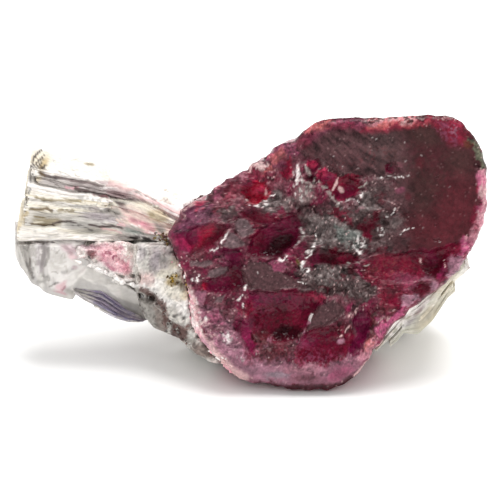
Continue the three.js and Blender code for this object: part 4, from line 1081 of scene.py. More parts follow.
def crystal():
    tree = tree_of("tourmaline_crystal")
    face = Face(tree)
    face.find_ground(tree)
    face.break_up()
    colour = face.colours()
    bumps = face.bumps()
    rings = side_rings(tree, face, bumps)
    points = grounded(np.concatenate([face.points(bumps), *rings]))

    faces = grid_faces(FACE_CELLS + 1, FACE_CELLS + 1)
    before = face.rim
    for ring in range(len(rings)):
        now = len(colour) + len(face.rim) * ring + np.arange(len(face.rim))
        faces += band_faces(before, now)
        before = now
    faces.append(before.tolist())

    sides = points[len(colour) :]
    side_colour = side_colours(sides, np.tile(colour[face.rim], (len(rings), 1)))
    obj = new_object("rubellite", points, faces, np.concatenate([colour, side_colour]))
    glass = np.clip(face.pit + 0.4 * face.table, 0, 1)
    grit = 1 - np.clip(0.65 * face.smooth + 0.3 * face.pit + 0.5 * face.hem, 0, 0.8)
    glass = np.concatenate([glass.ravel(), np.full(len(sides), SIDE_GLASS)])
    mask(obj, glass=glass, grit=np.concatenate([grit.ravel(), np.full(len(sides), SIDE_GRIT)]))
    return obj


# ---------------------------------------------------------------- stacks of thin sheets
# A stack lies between its low and high lines, whose corners are u, v and w. Its books stand further
# forward or back. A book's numbers are how many sheets it has, where they end on the left and right
# as shares of the stack's width, how far they stand back, and the two colours they lie between.

BLADES = dict(
    low=[(-34.9, 1.65, -3.75), (-31, 1.6, -4.0), (-18.8, 1.6, -5.2)],
    high=[(-33.4, 9.8, -3.75), (-30, 9.0, -4.0), (-20.2, 6.7, -5.2)],
    deep=(8.0, 5.2),
    stations=60, stretch=0.3, bands=8.0, sway=0.32, relief=0.75, ragged=0.08, split=0.07, seed=300,
    books=[
        (12, 0.00, 0.97, 0.00, "snow", "cream"),
        (3, 0.03, 0.96, 0.16, "milk", "fog"),
        (9, 0.02, 0.78, 0.10, "milk", "pearl"),
        (2, 0.04, 0.75, 0.15, "milk", "fog"),
        (8, 0.02, 0.72, 0.05, "cream", "milk"),
        (2, 0.04, 0.69, 0.10, "milk", "fog"),
        (11, 0.01, 0.70, -0.10, "snow", "cream"),
        (3, 0.10, 0.76, 0.40, "fog", "dove"),
        (3, 0.07, 0.84, 0.20, "pearl", "dove"),
        (3, 0.06, 0.88, 0.50, "fog", "dove"),
        (4, 0.02, 0.89, 0.25, "pearl", "milk"),
        (3, 0.00, 0.86, 0.45, "snow", "cream"),
    ],
)
SHOULDER = dict(
    low=[(-26.6, 2.6, -5.2), (-24.6, 2.6, -5.0), (-20.5, 1.6, -4.4), (-17.6, 1.2, -4.1)],
    high=[(-26.0, 7.6, -5.3), (-23.8, 7.55, -5.2), (-21.7, 7.0, -4.9), (-18.3, 5.3, -4.4),
          (-16.2, 4.2, -4.2)],
    deep=(4.0, 4.5),
    stations=36, stretch=0.35, bands=4.0, sway=0.2, relief=0.5, ragged=0.03, split=0.07, seed=500,
    books=[
        (5, 0.05, 1.00, 0.30, "pearl", "fog"),
        (5, 0.00, 1.00, 0.10, "cream", "blush"),
        (6, 0.02, 1.00, 0.20, "cream", "blush"),
        (4, 0.00, 1.00, 0.05, "cream", "milk"),
        (4, 0.05, 1.00, 0.30, "dove", "blush"),
        (3, 0.04, 1.00, 0.00, "snow", "blush"),
    ],
)
RIGHT_EDGE = dict(
    low=[(4.9, -11.7, -1.0), (7.4, -9.7, -1.5), (8.2, -8.8, -2.2), (9.8, -8.8, -3.0), (11.5, -7.2, -3.4),
         (13.1, -4.8, -3.2), (14.8, -3.2, -3.0)],
    high=[(4.4, -10.6, -0.8), (8, -6.5, -1.0), (12, -2.7, -1.0), (15.2, 0.6, -1.2)],
    deep=(4.5, 3.0),
    stations=40, stretch=0.3, bands=4.0, sway=0.22, relief=0.45, ragged=0.06, split=0.08, seed=560,
    books=[
        (6, 0.17, 0.92, 0.30, "hay", "fog"),
        (3, 0.30, 0.80, 0.36, "stone", "fog"),
        (4, 0.02, 1.00, 0.10, "hay", "fog"),
        (2, 0.05, 0.90, 0.28, "fog", "pearl"),
        (4, 0.00, 1.00, 0.00, "snow", "milk"),
    ],
)
MICA = dict(
    low=[(-28.7, -4.2, -4.4), (-27.5, -5.2, -4.6), (-25.3, -6.4, -4.9), (-24.0, -7.1, -5.3),
         (-22.5, -7.6, -5.9), (-20.4, -7.7, -6.6)],
    high=[(-28.5, -3.8, -4.5), (-27.0, -4.0, -4.7), (-25.3, -4.2, -4.9), (-24.0, -5.2, -5.3),
          (-22.5, -6.3, -5.9), (-20.4, -7.3, -6.6)],
    deep=(3.2, 2.7),
    stations=36, stretch=0.4, bands=8.0, sway=0.06, relief=0.2, ragged=0.05, split=0.25, seed=700,
    books=[
        (6, 0.30, 0.92, -0.10, "snow", "pearl"),
        (3, 0.05, 0.98, 0.25, "iris", "pearl"),
        (7, 0.02, 0.90, 0.05, "pearl", "iris"),
        (6, 0.05, 0.98, 0.20, "iris", "heather"),
        (5, 0.10, 1.00, 0.10, "pearl", "heather"),
        (8, 0.10, 1.00, 0.25, "iris", "heather"),
        (5, 0.00, 0.95, 0.05, "iris", "pearl"),
        (7, 0.02, 0.90, 0.15, "iris", "pearl"),
        (4, 0.00, 0.70, 0.00, "heather", "iris"),
    ],
)


def along(line, share):
    """Places at shares of a line's run to the right."""
    line = np.array(line, float)
    run = (line[:, 0] - line[0, 0]) / (line[-1, 0] - line[0, 0])
    return np.stack([np.interp(share, run, line[:, k]) for k in range(3)], axis=-1)


def tube_faces(stations, around):
    """A closed tube: rings of vertices joined in bands, and its two ends."""
    index = np.arange(stations * around).reshape(stations, around)
    faces = [index[0].tolist(), index[-1][::-1].tolist()]
    for before, after in zip(index[:-1], index[1:]):
        faces += band_faces(after, before)
    return faces


def sheets(paint, books, low, high, deep, stations, stretch, bands, sway, relief, ragged, split, seed):
    """Thin sheets with ragged front edges: their mesh parts, and the colours of their vertices."""
    count = sum(book[0] for book in books)
    each = [book for book in books for _ in range(book[0])]
    parts, colours = [], []
    for i, (_, first, final, stand, one, other) in enumerate(each):
        rng = np.random.default_rng(seed + i)
        t = i / (count - 1)
        share = np.linspace(first + rng.uniform(0, 0.03), final - rng.uniform(0, ragged), stations)
        below, above = along(low, share), along(high, share)
        x, y, front = (below + (above - below) * t).T
        flow = np.stack([x * stretch, np.full_like(x, bands * t)], axis=-1)
        own = np.stack([x * 0.8, np.full_like(x, 7.3 * i)], axis=-1)
        y = y + sway * fbm(flow * 0.8, 3, seed) + 0.03 * noise(own, 301)
        half = 0.8 * (above - below)[:, 1] / count * (1 + 0.15 * noise(own * 0.7, 305))
        set_back = stand + relief * (0.5 + fbm(flow, 4, seed + 6))
        set_back = set_back + split * (rng.uniform(0, 1) ** 2 + 0.7 * fbm(own * 1.6, 3, 302))
        front = front - np.maximum(set_back, 0) - 0.3 * smoothstep(final - 0.06, final, share)

        # round each sheet: its front edge, its upper side to the back, and its under side
        middle = np.stack([x, y, front], axis=-1)
        rise = np.stack([0 * x, half, 0 * x], axis=-1)
        back = LEVEL_BACK * np.interp(t, [0, 1], deep) * (1 + 0.05 * noise(own * 2, 303))[:, None]
        steps = np.linspace(0, 1, 20)[1:] if i >= count - 3 else [0.3, 1]  # the top shows its whole depth
        rings = [middle - rise + SHEET_BEVEL, middle, middle + rise + SHEET_BEVEL]
        rings += [middle + rise + step * back for step in steps]
        rings += [middle - rise + back, middle - rise + 0.3 * back]
        points = np.stack(rings, axis=1).reshape(-1, 3)
        parts.append((points, tube_faces(stations, len(rings))))

        base = blend(COLOURS[one], COLOURS[other], rng.random())
        streak = fbm(np.stack([points[:, 0] * 0.7, np.full(len(points), 5.1 * i)], -1), 3, 311)
        shade = rng.uniform(0.92, 1.04) * (1 + 0.14 * streak)
        colours.append(painted(wander(points[:, :2], 0.12, 0.9, 312), base * shade[:, None], paint))
    return parts, colours


# The colours of the arm, blades and shoulder alike
ARM_PAINT = [
    # pale bands and their shadows
    patch("dove", [(-32, 9.3), (-28, 8.7), (-24, 8.1), (-21.2, 7.1), (-21.4, 6.2), (-24.4, 6.9), (-28, 7.9),
        (-31.5, 8)], 0.45, 0.3),
    patch("dove", [(-31.6, 8.05), (-28, 7.95), (-25, 7.4), (-22.2, 6.9), (-22.3, 6.1), (-24.2, 6.4),
        (-27.5, 7.3), (-30.8, 7.7)], 0.6, 0.2),
    patch("mauve", [(-24.8, 7.2), (-22.4, 7), (-22.3, 6.2), (-23.8, 6.2), (-24.8, 6.6)], 0.5, 0.3),
    oval("blush", -22.8, 7.4, 1.6, 0.4, -12, 0.5, 0.6),
    oval("sand", -23.3, 8.4, 1.6, 0.2, -8, 0.4, 0.6),
    oval("mauve", -25, 8, 1, 0.18, -8, 0.45, 0.6),
    vein("umber", [(-32.2, 9.05), (-31.6, 8.7), (-30, 8.4), (-28.4, 8.2), (-27, 7.95), (-26, 7.75),
        (-25.1, 7.55)], 0.24, 0.9, True),
    vein("char", [(-31, 8.6), (-29.6, 8.4), (-28.2, 8.2), (-26, 7.8)], 0.1, 0.8),
    vein("stone", [(-31.7, 9.4), (-30.4, 9.15), (-28.8, 8.85), (-27.6, 8.6)], 0.13, 0.8),
    vein("umber", [(-31, 7.5), (-30.4, 7.7), (-29.4, 7.5)], 0.1, 0.8),
    vein("pink", [(-29.4, 7.4), (-28.6, 7.3), (-27.6, 7.3)], 0.2, 0.6),
    vein("umber", [(-28.2, 7.25), (-27, 6.95), (-26, 6.65), (-25, 6.45), (-23.8, 6.2)], 0.26, 0.95, True),
    vein("brick", [(-27.4, 6.9), (-26, 6.5), (-24.6, 6.25)], 0.12, 0.6),
    vein("snow", [(-25.5, 7.35), (-24.8, 7.25)], 0.14, 1, True),
    oval("taupe", -27, 7.6, 2.8, 0.3, -14, 0.35, 0.6),
    oval("olive", -31.8, 4.25, 1.2, 0.4, 0, 0.4, 0.6),
    oval("gold", -31.5, 3.7, 1.4, 0.4, 0, 0.25, 0.6),
    oval("fog", -25, 2.1, 2.6, 0.5, 0, 0.6, 0.6),
    oval("umber", -24.6, 4.9, 0.3, 0.2, -30, 0.7, 0.5),
    sugar("stone", -25.6, 5.2, 2.6, 1.2, -20, 0.6, 0.5),
    sugar("heather", -24.4, 4, 1.8, 1, -20, 0.5, 0.5),
    patch("umber", [(-24.1, 5.95), (-22.6, 5.7), (-22.8, 5.4), (-23.2, 5.2), (-23.5, 5.4)], 0.85, 0.12),
    oval("char", -22.05, 6.1, 0.35, 0.16, -10, 0.9, 0.4),
    vein("olive", [(-32.6, 6.3), (-31.9, 6.05), (-30.5, 5.98), (-29, 6), (-27.6, 5.9)], 0.18, 0.8, True),
    vein("sand", [(-27.8, 5.95), (-26, 5.8), (-25, 5.6)], 0.14, 0.7),
    oval("stone", -27.3, 5.35, 1.4, 0.18, -3, 0.6, 0.6),
    oval("dove", -26.2, 5, 0.6, 0.25, 0, 0.7, 0.5),
    vein("bronze", [(-33.2, 5), (-32.2, 4.95), (-31.6, 5.1), (-30.8, 4.85)], 0.22, 0.9, True),
    vein("olive", [(-30.2, 4.85), (-29, 4.85), (-27.8, 4.7)], 0.26, 0.7),
    patch("fog", [(-32.8, 4.7), (-30, 4.6), (-28, 4.4), (-23.4, 5.2), (-22.8, 4.2), (-25, 3.8),
        (-30.4, 3.9), (-32.8, 4.1)], 0.7, 0.3),
    oval("smoke", -24, 4.55, 0.9, 0.4, -20, 0.6, 0.6),
    oval("heather", -25.8, 4.2, 1.8, 0.4, -5, 0.6, 0.6),
    vein("olive", [(-32.8, 4.2), (-31.7, 4.1)], 0.12, 0.9, True),
    patch("olive", [(-33, 3.9), (-30.2, 3.95), (-29.6, 3.6), (-29.9, 3.05), (-31.2, 3.15),
        (-32.9, 3.45)], 0.6, 0.15),
    vein("bronze", [(-33.2, 3.45), (-32, 3.25), (-30.6, 3.1)], 0.16, 0.95, True),
    vein("cream", [(-32.9, 3.6), (-31.9, 3.55)], 0.12, 0.9, True),
    vein("umber", [(-30.8, 3.3), (-30, 3.5), (-29, 3.65), (-28.2, 3.5)], 0.18, 0.85, True),
    patch("smoke", [(-29.4, 3.5), (-27, 3.6), (-25, 3.4), (-24, 3.3), (-24, 3), (-25.8, 2.3), (-28, 2.5),
        (-29.3, 2.9)], 0.6, 0.25),
    vein("umber", [(-26.6, 3.3), (-25.6, 3.1), (-24.2, 3.15), (-23, 2.85)], 0.18, 0.9, True),
    vein("char", [(-28.6, 3.25), (-27.6, 3.2), (-26.4, 2.7)], 0.14, 0.7),
    vein("blush", [(-25.2, 2.9), (-24, 2.7), (-23, 2.4)], 0.14, 0.8, True),
    vein("char", [(-22.6, 2.4), (-21.4, 2.25), (-20.6, 2.15)], 0.14, 0.8),
    patch("teal", [(-22.7, 3.3), (-21.2, 3), (-20.4, 2.45), (-21.4, 2.25), (-22.6, 2.5)], 0.7, 0.2),
    patch("snow", [(-34.8, 1.5), (-34.6, 3), (-31, 2.9), (-28.6, 2.2), (-20.4, 2.05),
        (-20.4, 1.5)], 0.6, 0.2),
    vein("fog", [(-33, 2.6), (-31.4, 2.1), (-29, 2.2)], 0.16, 0.6),
    vein("fog", [(-28.6, 1.75), (-26.8, 2), (-24.4, 1.8)], 0.12, 0.7),
    vein("heather", [(-23, 1.9), (-20.6, 1.9), (-19.4, 1.85)], 0.14, 0.7),
    vein("sand", [(-34.7, 2.6), (-34.4, 3.8), (-33.9, 4.2), (-33.5, 4.6)], 0.24, 0.9, True),
    sugar("olive", -33.9, 3.9, 0.5, 0.3, 40, 0.8, 0.5),
    # the shoulder
    patch("blush", [(-23.4, 5.2), (-22.2, 5.6), (-20.6, 5.4), (-19.6, 4.3), (-20.2, 3.4), (-22, 4),
        (-23, 4.4)], 0.4, 0.25),
    oval("taupe", -22.8, 5.1, 0.8, 0.28, -35, 0.5, 0.5),
    oval("cream", -20.6, 5.3, 1.2, 0.5, -20, 0.8, 0.6),
    patch("pink", [(-22.2, 3.95), (-21.2, 3.75), (-19.9, 3.3), (-19, 2.4), (-20, 2.5), (-21.2, 3.1),
        (-22.2, 3.5)], 0.65, 0.25),
    oval("bloom", -20.7, 3.3, 0.5, 0.2, -25, 0.25, 0.5),
    oval("mauve", -21.8, 3.75, 0.45, 0.18, -20, 0.6, 0.5),
    vein("snow", [(-22, 3.3), (-21, 3.1)], 0.12, 0.8),
    vein("snow", [(-19.9, 2.45), (-19, 2.2)], 0.14, 0.9, True),
    patch("sand", [(-20.2, 4.7), (-19.4, 5), (-18.6, 4.9), (-17.8, 4.2), (-18, 3.6), (-19.2, 3.6),
        (-20, 3.9)], 0.75, 0.25),
    oval("olive", -19.7, 4.3, 0.3, 0.3, 0, 0.5, 0.5),
    patch("smoke", [(-19.5, 3.5), (-18.6, 3.2), (-18.1, 2.6), (-18.6, 2.3), (-19.2, 2.9)], 0.8, 0.15),
    vein("umber", [(-18.5, 4.5), (-17.9, 4.15), (-17.4, 3.95)], 0.18, 0.9),
    vein("blush", [(-21.6, 6.7), (-20.9, 6.3), (-19.6, 5.8), (-18.6, 5.2)], 0.3, 0.7, True),
    vein("taupe", [(-22, 6.15), (-21, 6), (-20.2, 5.75), (-19.2, 5.4)], 0.16, 0.6),
    vein("smoke", [(-21.7, 7), (-20.6, 6.6), (-20, 6.3), (-19.2, 5.8), (-18.3, 5.3)], 0.16, 0.8),
    patch("stone", [(-23.6, 2.3), (-21, 2.2), (-19.4, 2.1), (-19.2, 1.2), (-21, 1.2),
        (-23.4, 1.5)], 0.6, 0.2),
    # painted shade: a dark line along the recess under the shoulder
    vein("char", [(-22.4, 1.95), (-21.6, 1.75), (-20.9, 1.7), (-20.2, 1.6), (-19.3, 1.4)], 0.26),
    # the top, which is paler, and the dark needles at its left end
    patch("ivory", [(-33.6, 9.9), (-30.2, 9.2), (-26, 8.5), (-21.4, 7.2), (-18.2, 5.6), (-15, 8), (-20, 13),
        (-34, 13)], 0.45, 0.3),
    patch("snow", [(-24.6, 8.5), (-21.6, 7.35), (-18.2, 5.55), (-16, 4.7), (-10, 9), (-20, 13),
        (-24.6, 13)], 1, 0.25),
    oval("milk", -27, 10.4, 3, 0.7, -8, 0.7, 0.6),
    oval("petal", -22.4, 8, 2.2, 0.3, -20, 0.5, 0.7),
    oval("petal", -19.2, 6.6, 1, 0.3, -25, 0.4, 0.7),
    oval("sand", -32.4, 10.6, 1.2, 0.9, 0, 0.5, 0.6),
    oval("olive", -26.9, 10.05, 0.6, 0.16, -8, 0.8, 0.5),
    oval("stone", -30.7, 10.45, 0.2, 0.08, 0, 0.8, 0.5),
    oval("stone", -28.4, 9.35, 0.4, 0.06, 0, 0.6, 0.5),
    oval("olive", -28.5, 10.6, 0.4, 0.08, 20, 0.4, 0.5),
    oval("gold", -31.8, 10, 0.4, 0.8, -25, 0.55, 0.6),
    oval("sand", -32.4, 8.3, 0.5, 0.3, 30, 0.6, 0.6),
    sugar("bronze", -32.4, 10, 0.8, 0.9, 30, 0.8, 0.5),
    *(
        vein("char", line, 0.13, 0.95, True)
        for line in (
            [(-33.2, 10.2), (-32.7, 11)],
            [(-32.9, 10.9), (-32.3, 11.7)],
            [(-33.4, 9.5), (-33, 10.1)],
            [(-33, 9.6), (-32.4, 10.5)],
            [(-32.6, 9.6), (-32.1, 10.2)],
            [(-32.4, 10.4), (-31.9, 11.1)],
            [(-31.9, 9.5), (-31.6, 9.9)],
            [(-33.7, 7.6), (-33.4, 8.3)],
            [(-33.3, 8.2), (-33, 8.9)],
            [(-32.9, 8), (-32.6, 8.5)],
            [(-33.4, 6.8), (-33.2, 7.3)],
            [(-33.9, 6.6), (-33.7, 7.1)],
            [(-34.1, 5.6), (-33.9, 6.1)],
            [(-33.7, 5.5), (-33.5, 5.9)],
            [(-34.3, 4.5), (-34.1, 4.9)],
        )
    ),
    vein("bronze", [(-32.3, 9), (-31.7, 8.6)], 0.14, 0.8),
    oval("snow", -30.8, 6.8, 2.4, 0.6, -8, 0.5, 0.5),
    oval("olive", -32.2, 5, 1, 0.45, 5, 0.2, 0.5),
]


# ---------------------------------------------------------------- the albite

# The white ridge between the pink nest and the quartz
RIDGE_LINE = [
    (-27.9, -0.8), (-26.4, -1.3), (-25.1, -1.95), (-23.9, -2.6), (-22.7, -3.1), (-21.5, -3.6),
    (-20.3, -4.1), (-18.8, -4.7),
]

# Stains on the right-hand side, and on its edge's sheets too, and painted shade on the outer slab's lower
# part
RIGHT_STAINS_AND_SHADE = [
    oval("cream", 12.9, -3.4, 2, 1.6, 45, 0.6, 0.6),
    oval("hay", 11, -6.6, 2.4, 1.2, 48, 0.5, 0.6),
    vein("snow", [(6.6, -9.4), (8, -7.6), (9.6, -6.2), (11.4, -4.8)], 0.5, 0.8),
    # painted shade: the outer slab's lower part, in sand
    oval("sand", 10.9, -7, 1.6, 0.7, 48, 0.5, 0.6),
    oval("taupe", 9.9, -6.3, 0.9, 0.22, 45, 0.7, 0.5),
    oval("heather", 9, -7.4, 0.7, 0.3, 45, 0.4, 0.5),
]

ALBITE_PAINT = [
    # the right-hand side
    patch("milk", [(3, -12), (12, -4), (16, 1), (17, -2), (6, -13)], 1, 0.5),
    *RIGHT_STAINS_AND_SHADE,
    # the top, behind the shoulder
    patch("snow", [(-24, 7.6), (-21.6, 7), (-18.3, 5.2), (-16.6, 4.4), (-10, 8), (-14, 12),
        (-24, 12)], 1, 0.2),
    oval("cream", -17.8, 6.4, 1, 0.9, 20, 0.5, 0.6),
    oval("olive", -18.45, 7.1, 0.25, 0.07, 0, 0.8, 0.5),
    # the shoulder
    oval("cream", -19.6, 4.5, 2, 1, -25, 0.8, 0.6),
    oval("blush", -18, 2.9, 0.6, 0.6, 0, 0.6, 0.6),
    sugar("moss", -18.2, 1.6, 0.9, 0.6, 0, 1, 0.5),
    sugar("bronze", -17.9, 1.3, 0.6, 0.5, 0, 0.9, 0.5),
    # feldspar between the arm and the crystal
    patch("pearl", [(-21.8, 1.4), (-19.8, 1.2), (-19.8, -3.4), (-21.8, -3.4)], 0.8, 0.2),
    patch("dove", [(-20, 1.2), (-17.2, 1), (-16.8, -0.6), (-17.8, -2), (-19.9, -2.4)], 0.8, 0.25),
    oval("heather", -20.9, 0.2, 0.6, 0.8, 0, 0.5, 0.6),
    oval("smoke", -18.6, -0.4, 0.8, 0.6, -20, 0.7, 0.5),
    oval("heather", -19.2, -0.6, 0.5, 1.2, 0, 0.5, 0.5),
    oval("taupe", -18, 0.3, 0.7, 0.3, -20, 0.4, 0.5),
    vein("umber", [(-19.95, 1), (-19.9, -1), (-19.75, -2.2), (-19.5, -3.2)], 0.09, 0.6, True),
    vein("snow", [(-21.3, 0.6), (-21.4, -1), (-21.5, -2.4)], 0.2, 0.7),
    oval("blush", -20.5, -2.9, 1.1, 0.9, 0, 0.55, 0.6),
    oval("sand", -17.2, -1.2, 0.5, 0.9, 20, 0.5, 0.6),
    patch("snow", [(-19.8, -3.9), (-18.4, -2.4), (-16.8, -1.6), (-15.6, -4), (-14.6, -7.2), (-16.6, -6.6),
        (-18.4, -5.2)], 0.8, 0.35),
    oval("cream", -17.2, -4.2, 1.4, 0.8, -20, 0.6, 0.6),
    oval("cream", -18.2, -2.2, 0.9, 0.6, 0, 0.7, 0.5),
    patch("gold", [(-18.3, -2.9), (-17.4, -2.5), (-16.9, -2.9), (-17, -3.6), (-17.9, -3.6)], 0.75, 0.25),
    patch("olive", [(-17.5, -2.3), (-16.6, -1.9), (-15.7, -2.4), (-15.1, -3.4), (-15.4, -4.2),
        (-16.4, -3.9), (-17.2, -3.2)], 0.7, 0.3),
    sugar("bronze", -16.3, -2.9, 0.9, 0.8, -30, 1, 0.5),
    patch("blush", [(-16.8, 0.6), (-16.2, 0.4), (-15.2, -2), (-14.6, -5), (-13.8, -8), (-11, -12),
        (-12.4, -12.4), (-14.4, -9.4), (-15.2, -6), (-16.2, -2.2)], 0.85, 0.3),
    oval("sand", -15.9, -4.5, 0.4, 0.6, 0, 0.7, 0.5),
    vein("snow", RIDGE_LINE, 0.6, 1, True),
    # boulders
    patch("stone", [(-22.6, -3.4), (-20, -4.2), (-18.4, -5.4), (-18.1, -8), (-17.6, -10.4), (-20, -10.4),
        (-22.6, -7.4)], 1, 0.15),
    patch("cocoa", [(-20.4, -4.3), (-18.4, -5.4), (-18.1, -8), (-18.3, -9.6), (-19.2, -7.4),
        (-19.6, -5.6)], 0.7, 0.3),
    sugar("smoke", -20.5, -6, 1.3, 2.2, 30, 0.8, 0.5),
    sugar("fog", -20, -6.9, 0.9, 1.6, 30, 0.5, 0.5),
    patch("rust", [(-20.9, -3.7), (-19.8, -4.1), (-18.7, -4.8), (-18, -5.7), (-17.85, -7), (-18.3, -8.6),
        (-18.6, -7.5), (-18.5, -6.2), (-19, -5.3), (-20, -4.6), (-21.1, -4.3)], 0.85, 0.12),
    vein("umber", [(-21.8, -4.2), (-21.4, -4.9), (-21.3, -5.8), (-20.8, -6.4)], 0.16, 0.7),
    vein("char", [(-17.8, -5.7), (-17.8, -7), (-18.3, -8.9)], 0.12, 0.8),
    oval("fog", -17.4, -6.4, 0.7, 0.8, 0, 0.8, 0.4),
    oval("stone", -17.3, -7.8, 0.6, 0.6, 0, 0.8, 0.4),
    vein("char", [(-18, -6.9), (-17.2, -7), (-16.6, -6.7), (-16.2, -7.2)], 0.16, 0.8),
    oval("fog", -16.7, -7.3, 0.4, 0.25, 0, 0.8, 0.4),
    patch("rust", [(-17.4, -7.6), (-16, -7.9), (-15.1, -7.6), (-15.5, -8.7), (-15.8, -10.4), (-16.8, -10.4),
        (-17.6, -9)], 0.95, 0.15),
    oval("umber", -17, -9, 0.7, 0.6, 0, 0.7, 0.5),
    oval("milk", -15, -8.9, 0.8, 0.6, -20, 0.95, 0.4),
    oval("fog", -14.3, -10.6, 2, 1.1, -10, 0.9, 0.3),
    oval("cocoa", -14, -10.6, 1.5, 0.75, -10, 0.95, 0.35),
    sugar("umber", -13.9, -10.5, 1.4, 0.7, -8, 0.6, 0.5),
    vein("milk", [(-15.6, -10), (-15.5, -10.8), (-14.4, -11.5)], 0.14, 0.7),
    vein("umber", [(-15.8, -11.1), (-14, -11.9), (-12.2, -12.3)], 0.2, 0.6),
    oval("milk", -12.2, -11.6, 0.6, 0.5, -40, 0.8, 0.5),
]

# the edge's sheets take the same stains and painted shade, and more painted shade in stone on the slab's
# lower part
EDGE_PAINT = [*RIGHT_STAINS_AND_SHADE, oval("stone", 10.6, -6.9, 1.5, 0.5, 45, 0.5, 0.6)]

# Lumps that stand out of the matrix: place, half sizes, turn and how far out of the surface
LUMPS = [
    ((-20.2, -6.4), (1.2, 2.2), 28, 0.5),  # the grey boulder
    ((-18.6, -7.2), (0.5, 2), 20, 0.35),
    ((-17.3, -6.5), (0.8, 0.9), 0, 0.45),
    ((-17.4, -8.3), (0.8, 0.8), 0, 0.4),
    ((-16.6, -7.4), (0.5, 0.4), 10, 0.5),
    ((-16.2, -8.8), (0.9, 0.8), -30, 0.35),
    ((-17, -5), (1.6, 0.8), -25, 0.45),
    ((-15, -8.8), (1, 0.7), -20, 0.5),
    ((-14.3, -10.4), (1.7, 0.9), -12, 0.6),  # the nodule
    ((-13, -11.6), (1.2, 0.5), -25, 0.4),
    ((-18.8, -0.9), (1, 1.5), 0, 0.3),
    ((-20.9, -1), (0.9, 2.1), 0, 0.9),
    ((-17.6, -3.4), (1.1, 0.8), 20, 0.3),
]

# Solids under the white ridge between the pink nest and the quartz: place and half height
RIDGE = [((-27.7, -0.9), 0.35), ((-26.4, -1.3), 0.45), ((-25.1, -1.95), 0.55), ((-23.9, -2.6), 0.65),
         ((-22.7, -3.1), 0.75), ((-21.5, -3.6), 0.8), ((-20.5, -4.0), 0.7)]
RIDGE_LEVEL = -4.6  # their w

# On the lower right the albite ends along a line that runs down to the left. A corner is how far along
# it is and how far out it lies.
CUT_ALONG = np.array([-0.763, -0.647])
CUT_OUT = np.array([0.647, -0.763])
CUT_LINE = [(-8.5, 11.9), (-6.8, 12.0), (-4.0, 12.6), (-1.6, 12.7), (-0.5, 11.7), (0.7, 11.8), (3.5, 11.7)]
CUT_MARGIN = 0.5  # it is cut off this far inside the line

# The lower left is drawn in the same way; its line runs down to the right.
TRIM_ALONG = np.array([0.87, -0.49])
TRIM_OUT = np.array([-0.49, -0.87])
TRIM_LINE = [(-16.9, 14.1), (-16.5, 14.9), (-14.5, 16.2), (-12.85, 16.8), (-11.2, 16.6), (-9.9, 16.6),
             (-8.9, 16.8), (-7.2, 17.0), (-5.8, 16.8), (-4.3, 16.2)]
TRIM_MARGIN = 0.7  # it is drawn in from this far inside the line, where it is still round

# Grains strewn along lines over the matrix: the pale fringe of the crystal, the olive cluster, the
# knob on the shoulder and the crust between the boulders
STREWN = [
    dict(
        corners=[(-16.6, -0.4), (-16.2, -1.4), (-15.2, -4.6), (-15.2, -5.8), (-14.8, -7.4), (-13.6, -9.4),
                 (-12.2, -11.4), (-10.8, -12.8)],
        count=110, reach=0.3, size=(0.25, 0.5), colours=["blush", "snow", "pink", "blush"], seed=41, sink=0.6,
    ),
    dict(
        corners=[(-17.8, -3.1), (-16.9, -2.4), (-15.7, -3.0), (-15.5, -3.9)],
        count=70, reach=0.28, size=(0.12, 0.27), seed=42, sink=0.0,
        colours=["olive", "sand", "gold", "sand", "bronze"],
    ),
    dict(
        corners=[(-19.2, 1.9), (-18.4, 2.0), (-17.6, 1.0)],
        count=44, reach=0.28, size=(0.12, 0.26), seed=43, sink=0.0,
        colours=["olive", "rust", "bronze", "stone"],
    ),
    dict(
        corners=[(-21.6, -4.6), (-18.3, -5.4), (-18, -8), (-16.4, -8.4), (-16.0, -10)],
        count=90, reach=0.25, size=(0.08, 0.2), seed=44, sink=0.2,
        colours=["umber", "smoke", "stone", "rust"],
    ),
]


def on_surface(trees, u, v):
    """The w of the most forward surface at a place, or None where there is none."""
    found = [tree.ray_cast(Vector((u, v, IN_FRONT)), Vector((0, 0, -1)))[0] for tree in trees]
    return max((place.z for place in found if place is not None), default=None)


def scattered(trees, corners, count, reach, size, colours, seed, sink):
    """Small grains strewn along a line, each with its own colour: mesh parts and their colours."""
    rng = np.random.default_rng(seed)
    corners = np.array(corners, float)
    parts, shades = [], []
    for i in range(count):
        leg = rng.integers(0, len(corners) - 1)
        t = rng.random()
        u, v = corners[leg] * (1 - t) + corners[leg + 1] * t + rng.normal(0, reach, 2)
        half = rng.uniform(*size) * rng.uniform(0.7, 1.3, 3)
        w = on_surface(trees, u, v)
        if w is None:
            continue
        part = grain((u, v, w - sink * half[2]), half, seed * 100 + i, rng.uniform(0, 180), 10)
        parts.append(part)
        shade = COLOURS[colours[rng.integers(0, len(colours))]] * rng.uniform(0.8, 1.12)
        shades.append(np.tile(shade, (len(part[0]), 1)))
    return parts, shades


def matrix_lumps(tree):
    """The solids that are joined to the matrix: its boulders and the white ridge."""
    solids = []
    for i, ((u, v), half, turn, out) in enumerate(LUMPS):
        w = on_surface([tree], u, v) - (1 - out) * 0.8
        solids.append(grain((u, v, w), (*half, 1.0), 900 + i, turn))
    for i, ((u, v), half) in enumerate(RIDGE):
        solids.append(grain((u, v, RIDGE_LEVEL), (1.15, half, 1.7), 930 + i, -30))
    return solids


def beyond(points, ahead, out, line):
    """How far places lie out beyond a line."""
    return points[:, :2] @ out - np.interp(points[:, :2] @ ahead, *zip(*line))


